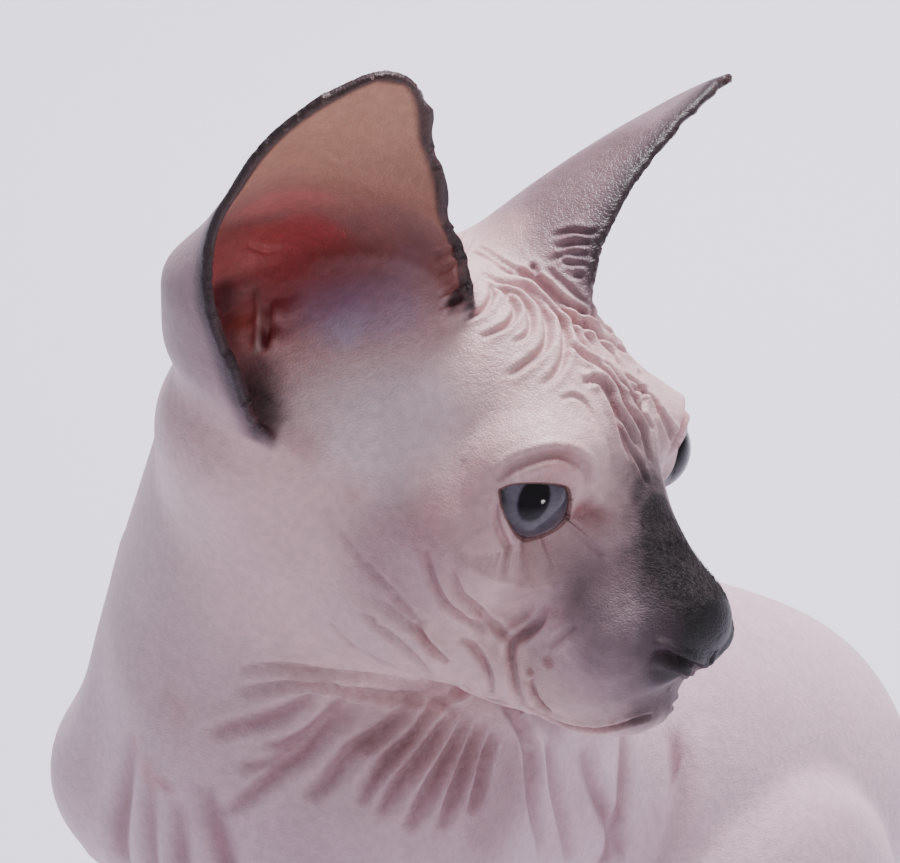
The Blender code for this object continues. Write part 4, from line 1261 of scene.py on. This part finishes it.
def pointColoured(name, roughness, ior, attribute):
    # a material whose colour is painted on the points
    material, shader = newMaterial(name, roughness, ior)
    colour = addNode(material, "ShaderNodeAttribute", attribute_name=attribute)
    material.node_tree.links.new(colour.outputs["Color"], shader.inputs["Base Color"])
    return material


# Relief of the skin: the cells of its net of lines, with the lines' width as a share of a cell,
# and its wrinkles, in metres; and the light that it lets through
skinLook = {
    "netCell": 1 / 1500, "netLine": 0.18, "netStrength": 0.45, "netHeight": mm(0.12),
    "wrinkle": 1 / 650, "wrinkleStrength": 0.5, "wrinkleHeight": mm(0.4), "shade": (0.92, 1.05),
    "through": 0.15, "throughRadius": (1.0, 0.36, 0.22), "throughScale": mm(1.6),
}


def skinMaterial():
    # bare skin: faintly translucent, moist on the nose and lids, with a fine net of lines in it
    material, shader = newMaterial("bareSkin", sheen["skin"], 1.42)
    link = material.node_tree.links.new
    colour = addNode(material, "ShaderNodeAttribute", attribute_name="skinColour")
    rough = addNode(material, "ShaderNodeAttribute", attribute_name="skinRoughness")
    place = addNode(material, "ShaderNodeTexCoord").outputs["Object"]
    net = addNode(
        material, "ShaderNodeTexVoronoi", {"Vector": place},
        feature="DISTANCE_TO_EDGE", Scale=1 / skinLook["netCell"],
    )
    netHeight = addNode(
        material, "ShaderNodeMapRange", {"Value": net.outputs["Distance"]}, From_Max=skinLook["netLine"]
    )
    wrinkle = addNode(
        material, "ShaderNodeTexNoise", {"Vector": place}, Scale=1 / skinLook["wrinkle"], Detail=2
    )
    first = addNode(
        material, "ShaderNodeBump", {"Height": netHeight.outputs["Result"]},
        Strength=skinLook["netStrength"], Distance=skinLook["netHeight"],
    )
    second = addNode(
        material, "ShaderNodeBump", {"Height": wrinkle.outputs["Fac"], "Normal": first.outputs["Normal"]},
        Strength=skinLook["wrinkleStrength"], Distance=skinLook["wrinkleHeight"],
    )
    # the colour is darker where the fine wrinkles lie low and lighter where they stand up: painted shade
    # and light on them
    darkest, lightest = skinLook["shade"]
    shade = addNode(
        material, "ShaderNodeMapRange", {"Value": wrinkle.outputs["Fac"]},
        From_Min=0.35, From_Max=0.65, To_Min=darkest, To_Max=lightest,
    )
    mixed = addNode(
        material, "ShaderNodeVectorMath", {0: colour.outputs["Color"], 1: shade.outputs["Result"]},
        operation="MULTIPLY",
    )
    link(mixed.outputs["Vector"], shader.inputs["Base Color"])
    link(second.outputs["Normal"], shader.inputs["Normal"])
    link(rough.outputs["Fac"], shader.inputs["Roughness"])
    shader.inputs["Subsurface Weight"].default_value = skinLook["through"]
    shader.inputs["Subsurface Radius"].default_value = skinLook["throughRadius"]
    shader.inputs["Subsurface Scale"].default_value = skinLook["throughScale"]
    return material


eyeLook = {
    "iris": "#5C5562", "irisInner": "#7A7381", "irisRing": "#231F28", "sclera": "#8C6A66",
    "pupil": "#120D14", "pupilWide": mm(2.3), "pupilTall": mm(3.5), "pupilUp": mm(0.8),
    "irisBack": mm(0.5), "irisBulge": mm(0.5), "irisShare": 0.985, "corneaGap": mm(0.015),
}


def ringFaces(count, around, start=0):
    # quads between rings of points that follow each other
    at = start + np.arange(count * around).reshape(count, around)
    after = np.roll(at, -1, axis=1)
    return np.stack([at[:-1], at[1:], after[1:], after[:-1]], axis=-1).reshape(-1, 4).tolist()


def faceOutward(mesh):
    # turns all faces outward and shades them smooth
    editMesh(mesh, lambda shape: bmesh.ops.recalc_face_normals(shape, faces=shape.faces))
    mesh.shade_smooth()


def eyePiece(name, side, across, height, around=96):
    # rings round the gaze, by how far from it and how far along it each lies; a ring of no width
    # becomes one point; also the points in the eye's own axes
    turn = np.linspace(0, 2 * math.pi, around, endpoint=False)
    points = np.stack([
        across[:, None] * np.cos(turn), across[:, None] * np.sin(turn), height[:, None] + 0 * turn,
    ], axis=-1)
    mesh = meshFrom(name, points.reshape(-1, 3), ringFaces(len(across), around))
    editMesh(mesh, lambda shape: bmesh.ops.remove_doubles(shape, verts=shape.verts, dist=1e-7))
    local = pointsOf(mesh)
    setPoints(mesh, fromHead(local @ eyeAxes(side) + mirrored(eye["at"], side)))
    faceOutward(mesh)
    return newObject(name, mesh), local


def eyeball(side, name):
    # a ball, cut off at the limbus, where the iris is a shallow dish behind the cornea
    limbus = eye["limbus"]
    edge = eye["radius"] * math.sin(limbus)
    level = eye["radius"] * math.cos(limbus) - eyeLook["irisBack"]
    share = np.linspace(0, eyeLook["irisShare"], 30)
    angle = np.linspace(limbus, math.pi, 34)
    across = np.concatenate([share * edge, eye["radius"] * np.sin(angle)])
    dish = level + eyeLook["irisBulge"] * (1 - share**2)
    made, local = eyePiece(name, side, across, np.concatenate([dish, eye["radius"] * np.cos(angle)]))
    paintEyeball(made.data, local, edge, level)
    return made


def paintEyeball(mesh, local, edge, level):
    # the iris with its fibres, its dark ring and the upright pupil, inside the ring on the sclera
    across = np.hypot(local[:, 0], local[:, 1])
    front = local[:, 2] > 0
    onIris = front & (across < edge * 0.99) & (local[:, 2] < level + eyeLook["irisBulge"] + mm(0.1))
    angle = np.arctan2(local[:, 1], local[:, 0])
    fibres = 0.5 + 0.5 * np.sin(angle * 46 + 3 * np.sin(angle * 7)) * np.sin(angle * 17 + 1)
    colours = np.tile(hexColour(eyeLook["sclera"]), (len(local), 1))
    colours = blend(colours, eyeLook["irisRing"], fall(across, edge * 1.02, edge * 1.16) * front)
    iris = np.tile(hexColour(eyeLook["iris"]), (len(local), 1))
    inner = fall(across, edge * 0.45, edge * 0.85) * (0.45 + 0.55 * fibres)
    iris = blend(iris, eyeLook["irisInner"], inner)
    iris = blend(iris, eyeLook["irisRing"], rise(across, edge * 0.80, edge * 0.99) * 0.9)
    pupilTall = (local[:, 1] - eyeLook["pupilUp"]) / eyeLook["pupilTall"]
    pupil = np.hypot(local[:, 0] / eyeLook["pupilWide"], pupilTall)
    iris = blend(iris, eyeLook["pupil"], fall(pupil, 0.90, 1.12))
    writeColours(mesh, "eyeColour", np.where(onIris[:, None], iris, colours))


def cornea(side, name):
    # the clear front of the eye, on the profile that the solid eye has
    angle = np.linspace(0, eye["limbus"] + math.radians(2), 26)
    radius = corneaHeight(angle) + eyeLook["corneaGap"]
    return eyePiece(name, side, radius * np.sin(angle), radius * np.cos(angle))[0]


def corneaMaterial():
    # clear tissue, with the cornea's own index
    material, shader = newMaterial("corneaTissue", 0.0, 1.376, "#FFFFFF")
    shader.inputs["Transmission Weight"].default_value = 1.0
    return material


claws = {
    "length": mm(4.2), "radius": mm(0.85), "flat": 0.6, "thinning": 0.7, "tip": 0.02,
    "curl": math.radians(55), "forward": 0.72, "up": 0.45, "colour": "#D8C4B4",
}


def clawMesh(rings=9, around=10):
    # each claw is an oval section carried along an arc of the curl's angle, and narrowed to a point
    share = np.linspace(0, 1, rings)[:, None]
    turn = np.linspace(0, 2 * math.pi, around, endpoint=False)[None]
    bend = claws["curl"] * share
    reach = claws["length"] / claws["curl"]
    thick = claws["radius"] * np.maximum(1 - share, claws["tip"]) ** claws["thinning"]
    claw = np.stack([
        thick * claws["flat"] * np.cos(turn),
        thick * np.sin(turn) * np.sin(bend) - reach * np.sin(bend),
        thick * np.sin(turn) * np.cos(bend) - reach * (1 - np.cos(bend)),
    ], axis=-1).reshape(-1, 3)
    root = toes["radii"] * np.array([0, -claws["forward"], claws["up"]])
    points, faces = [], []
    for leg in (frontLeg, hindLeg):
        for side in (1, -1):
            for toe in toePlaces(leg):
                start = len(points) * len(claw)
                points.append((toe + root + claw) * np.array([side, 1, 1]))
                last = start + len(claw)
                faces += ringFaces(rings, around, start)
                faces += [list(range(start, start + around)), list(range(last - around, last))[::-1]]
    mesh = meshFrom("claws", np.concatenate(points), faces)
    faceOutward(mesh)
    return mesh


# Short down: on the nose bridge and on the near ear's inner edge, between two shares of its
# height; a hair's thickness and lengths, and the size of its patch of the unwrap
fuzz = {
    "seed": 4, "thick": mm(0.03), "dark": "#241C20", "patch": 0.003,
    "rimHairs": 350, "rimLow": 0.12, "rimHigh": 0.42, "rimLength": mm(1.3),
}
fuzzPlaces = [
    # pixel of the photo, spread in mm, how many hairs, and their length in mm; on both sides
    ((660, 512), 3.0, 150, 1.3), ((680, 545), 4.0, 200, 1.2), ((688, 580), 5.0, 250, 1.1),
    ((700, 605), 5.0, 200, 0.9),
]


def rimSpots(ear, random, count, low, high):
    # spots along the inner edge of an ear, with the way its hairs lie
    height, upward, opening, inward = earFrame(ear)
    share = random.uniform(low, high, count)
    ahead, inside, radius, outer, inner = earSection(ear, share)
    turn = inner + random.normal(0, 0.03, count)
    across = (ahead - radius * np.cos(turn))[:, None] * opening
    across = across + (inside + radius * np.sin(turn))[:, None] * inward
    flow = opening * np.sin(turn)[:, None] + inward * np.cos(turn)[:, None]
    spots = ear["root"] + share[:, None] * height * upward + across
    return fromHead(spots), (upward * 0.8 + 0.7 * flow) @ headAxes


def hairMesh(name, spots, flows, lengths, random):
    # each hair is a three-sided spike of two lengths that bends along its flow
    count = len(spots)
    side = np.cross(flows, random.normal(size=(count, 3)))
    side /= np.linalg.norm(side, axis=1, keepdims=True)
    other = np.cross(flows, side)
    other /= np.linalg.norm(other, axis=1, keepdims=True)
    droop = random.normal(0, 0.18, (count, 1)) * side
    rings = []
    for share, wide in ((0, 1), (0.5, 0.75), (1, 0.12)):
        middle = spots + lengths[:, None] * (flows * share + droop * share**2)
        for angle in np.arange(3) * 2 * math.pi / 3:
            rings.append(middle + fuzz["thick"] * wide * (side * math.cos(angle) + other * math.sin(angle)))
    hair = np.array([
        [level + corner, level + after, level + 3 + after, level + 3 + corner]
        for level in (0, 3) for corner, after in ((0, 1), (1, 2), (2, 0))
    ])
    faces = np.arange(count)[:, None, None] * len(rings) + hair
    mesh = meshFrom(name, np.stack(rings, axis=1).reshape(-1, 3), faces.reshape(-1, 4).tolist())
    writeColours(mesh, "hairColour", np.tile(hexColour(fuzz["dark"]), (len(mesh.vertices), 1)))
    # each hair's patch lies where its root is, on an unwrap by turn round the head and by height
    head = toHead(spots)
    azimuth = np.arctan2(head[:, 1], head[:, 0]) / (2 * math.pi) + 0.5
    tall = np.clip((head[:, 2] + mm(80)) / mm(200), 0, 0.99)
    corners = np.tile(fuzz["patch"] * np.array([[0, 0], [1, 0], [1, 1], [0, 1]]), (len(hair), 1))
    uv = np.column_stack([azimuth * 0.99, tall])[:, None] + corners[None]
    mesh.uv_layers.new(name="OFBake").data.foreach_set("uv", uv.astype(np.float32).ravel())
    return mesh


def buildFuzz(tree):
    # the down: hairs round the places of the photo, and along the near ear's inner edge
    random = np.random.default_rng(fuzz["seed"])
    back = -headAxes[0] * 0.9 + headAxes[2] * 0.2
    spots, flows, lengths = [], [], []
    for pixel, spread, count, length in fuzzPlaces:
        for middle, facing in spotsOf(tree, pixel, True):
            for place in middle + random.normal(0, mm(spread) / 2, (count, 3)):
                spot, normal = tree.find_nearest(Vector(place))[:2]
                spots.append(spot)
                flows.append(unit(np.array(normal) * 0.4 + back))
            lengths.append(mm(length) * random.uniform(0.6, 1.2, count))
    places, lean = rimSpots(rightEar, random, fuzz["rimHairs"], fuzz["rimLow"], fuzz["rimHigh"])
    spots = np.vstack([spots, places])
    flows = np.vstack([flows, lean + random.normal(0, 0.25, lean.shape)])
    lengths.append(fuzz["rimLength"] * random.uniform(0.4, 1.2, len(places)))
    flows /= np.linalg.norm(flows, axis=1, keepdims=True)
    return hairMesh("fuzz", spots, flows, np.concatenate(lengths), random)


def finishPiece(made, material, slot, *nodes):
    # moves a piece's mesh over the origin, and says what it rides on and which nodes it replaces
    made.data.transform(Matrix.Translation(Vector(modelShift)))
    made.data.materials.clear()
    made.data.materials.append(material)
    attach(made, "root")
    if nodes:
        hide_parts(*nodes)


def buildSkin():
    # the start's points settle on the clay, the faces get finer, and the folds and lids go in
    made = fleshStart()
    mesh = made.data
    print("start of the skin:", trianglesIn(mesh), "triangles")
    settle(mesh, skin["startRounds"])
    setPoints(mesh, raiseRims(pointsOf(mesh)))
    settle(mesh, 2, nearEars(pointsOf(mesh), mm(6)))
    points = pointsOf(mesh)
    outline = lidOutline()
    faces = [tuple(face.vertices) for face in mesh.polygons]
    tree = BVHTree.FromPolygons(pressLids(points, outline).tolist(), faces)
    folds = laidFolds(tree)
    for finer in skin["finer"]:
        chosen = nearFolds(points, folds, finer["folds"]) | nearEyes(points, finer["eyes"])
        if "rims" in finer:
            chosen |= onFace(points) | nearEars(points, finer["rims"])
        print("finer faces round", int(chosen.sum()), "points")
        refine(mesh, chosen)
        points = raiseRims(pointsOf(mesh))
        setPoints(mesh, points)
        fresh = onFace(points, 1.1) | nearEars(points, mm(4)) | nearFolds(points, folds, mm(3))
        settle(mesh, finer["settle"], fresh)
        points = pointsOf(mesh)
    print("the skin lies on the clay:", trianglesIn(mesh), "triangles")
    setPoints(mesh, pressLids(points, outline))
    points = pointsOf(mesh)
    setPoints(mesh, points + normalsOf(mesh) * foldHeights(points, folds)[0][:, None])
    openLids(mesh, outline)
    points = pointsOf(mesh)
    kept = onFace(points) | nearEars(points, skin["keptEars"]) | nearFolds(points, folds, skin["keptFolds"])
    print("folds and lids are in:", trianglesIn(mesh), "triangles,", int(kept.sum()), "points are kept")
    thinBody(made, kept, skin["triangles"])
    paintSkin(made, folds, tree)
    made.data.shade_smooth()
    print("the skin is painted:", trianglesIn(made.data), "triangles")
    return made, tree


studio = {
    "floor": "#EFECFA", "floorHalf": 6, "world": "#E6E4EE", "worldStrength": 0.46,
    # each light's place along the view's right, up and back, its size and power, and its colour
    "lights": [
        ("keyLight", (0.15, 1.05, 0.0), 0.5, 30, "#FFFBFF"),
        ("fillLight", (-0.9, 0.35, 0.8), 0.9, 2, "#F2F0FF"),
        ("rimLight", (0.6, 0.1, -0.9), 0.5, 6, "#FFFFFF"),
        ("windowLight", (0.53, -0.30, 0.52), 0.14, 1.2, "#FFFFFF"),
    ],
}


def addLight(name, place, size, power, colour):
    # a soft box that looks at the head
    light = bpy.data.lights.new(name, "AREA")
    light.shape = "DISK"
    light.size = size
    light.energy = power
    light.color = hexColour(colour)
    made = newObject(name, light)
    spot = viewAim + place[0] * viewRight + place[1] * viewUp + place[2] * viewBack
    made.location = Vector(spot + modelShift)
    made.rotation_euler = Vector(spot - viewAim).to_track_quat("Z", "Y").to_euler()


def buildStudio():
    # floor, surroundings, lights, and the camera at the photo's angle
    half = studio["floorHalf"]
    corners = np.array([[-half, -half, 0], [half, -half, 0], [half, half, 0], [-half, half, 0]], float)
    floor = newObject("floor", meshFrom("floor", corners, [(0, 1, 2, 3)]))
    # a matt paper sweep
    floor.data.materials.append(newMaterial("palePaperSweep", 0.9, 1.5, studio["floor"])[0])
    world = bpy.data.worlds.new("studio")
    world.use_nodes = True
    background = world.node_tree.nodes["Background"]
    background.inputs["Color"].default_value = (*hexColour(studio["world"]), 1)
    background.inputs["Strength"].default_value = studio["worldStrength"]
    bpy.context.scene.world = world
    for settings in studio["lights"]:
        addLight(*settings)
    lens = bpy.data.cameras.new("photoView")
    lens.sensor_width = view["sensor"]
    lens.lens = view["sensor"] * view["pixelsPerMetre"] * view["distance"] / view["width"]
    lens.clip_start = 0.01
    made = newObject("photoView", lens)
    turn = Matrix(np.array([viewRight, viewUp, viewBack]).T.tolist()).to_4x4()
    made.matrix_world = Matrix.Translation(Vector(viewEye + modelShift)) @ turn
    bpy.context.scene.camera = made


fleshNodes = [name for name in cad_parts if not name.startswith("eye")]
bareSkin = skinMaterial()
body, tree = buildSkin()
finishPiece(body, bareSkin, "skin", *fleshNodes)

# the iris lies in fluid, so the index of the eye's tissue is the one against water
tissue = pointColoured("eyeTissue", 0.5, 1.06, "eyeColour")
clear = corneaMaterial()
for side, name in ((1, "left"), (-1, "right")):
    finishPiece(eyeball(side, "eyeball_" + name), tissue, "eye", "eye_" + name)
    finishPiece(cornea(side, "cornea_" + name), clear, "eye")
print("eyes are in")

# horn of the claws, and the down's fine hair, with the index that such stuff has
horn = newMaterial("clawHorn", 0.35, 1.54, claws["colour"])[0]
finishPiece(newObject("claws", clawMesh()), horn, "skin")
hair = pointColoured("downHair", 0.6, 1.55, "hairColour")
finishPiece(newObject("down", buildFuzz(tree)), hair, "skin")
print("claws and down are in")

buildStudio()
bpy.context.view_layer.update()
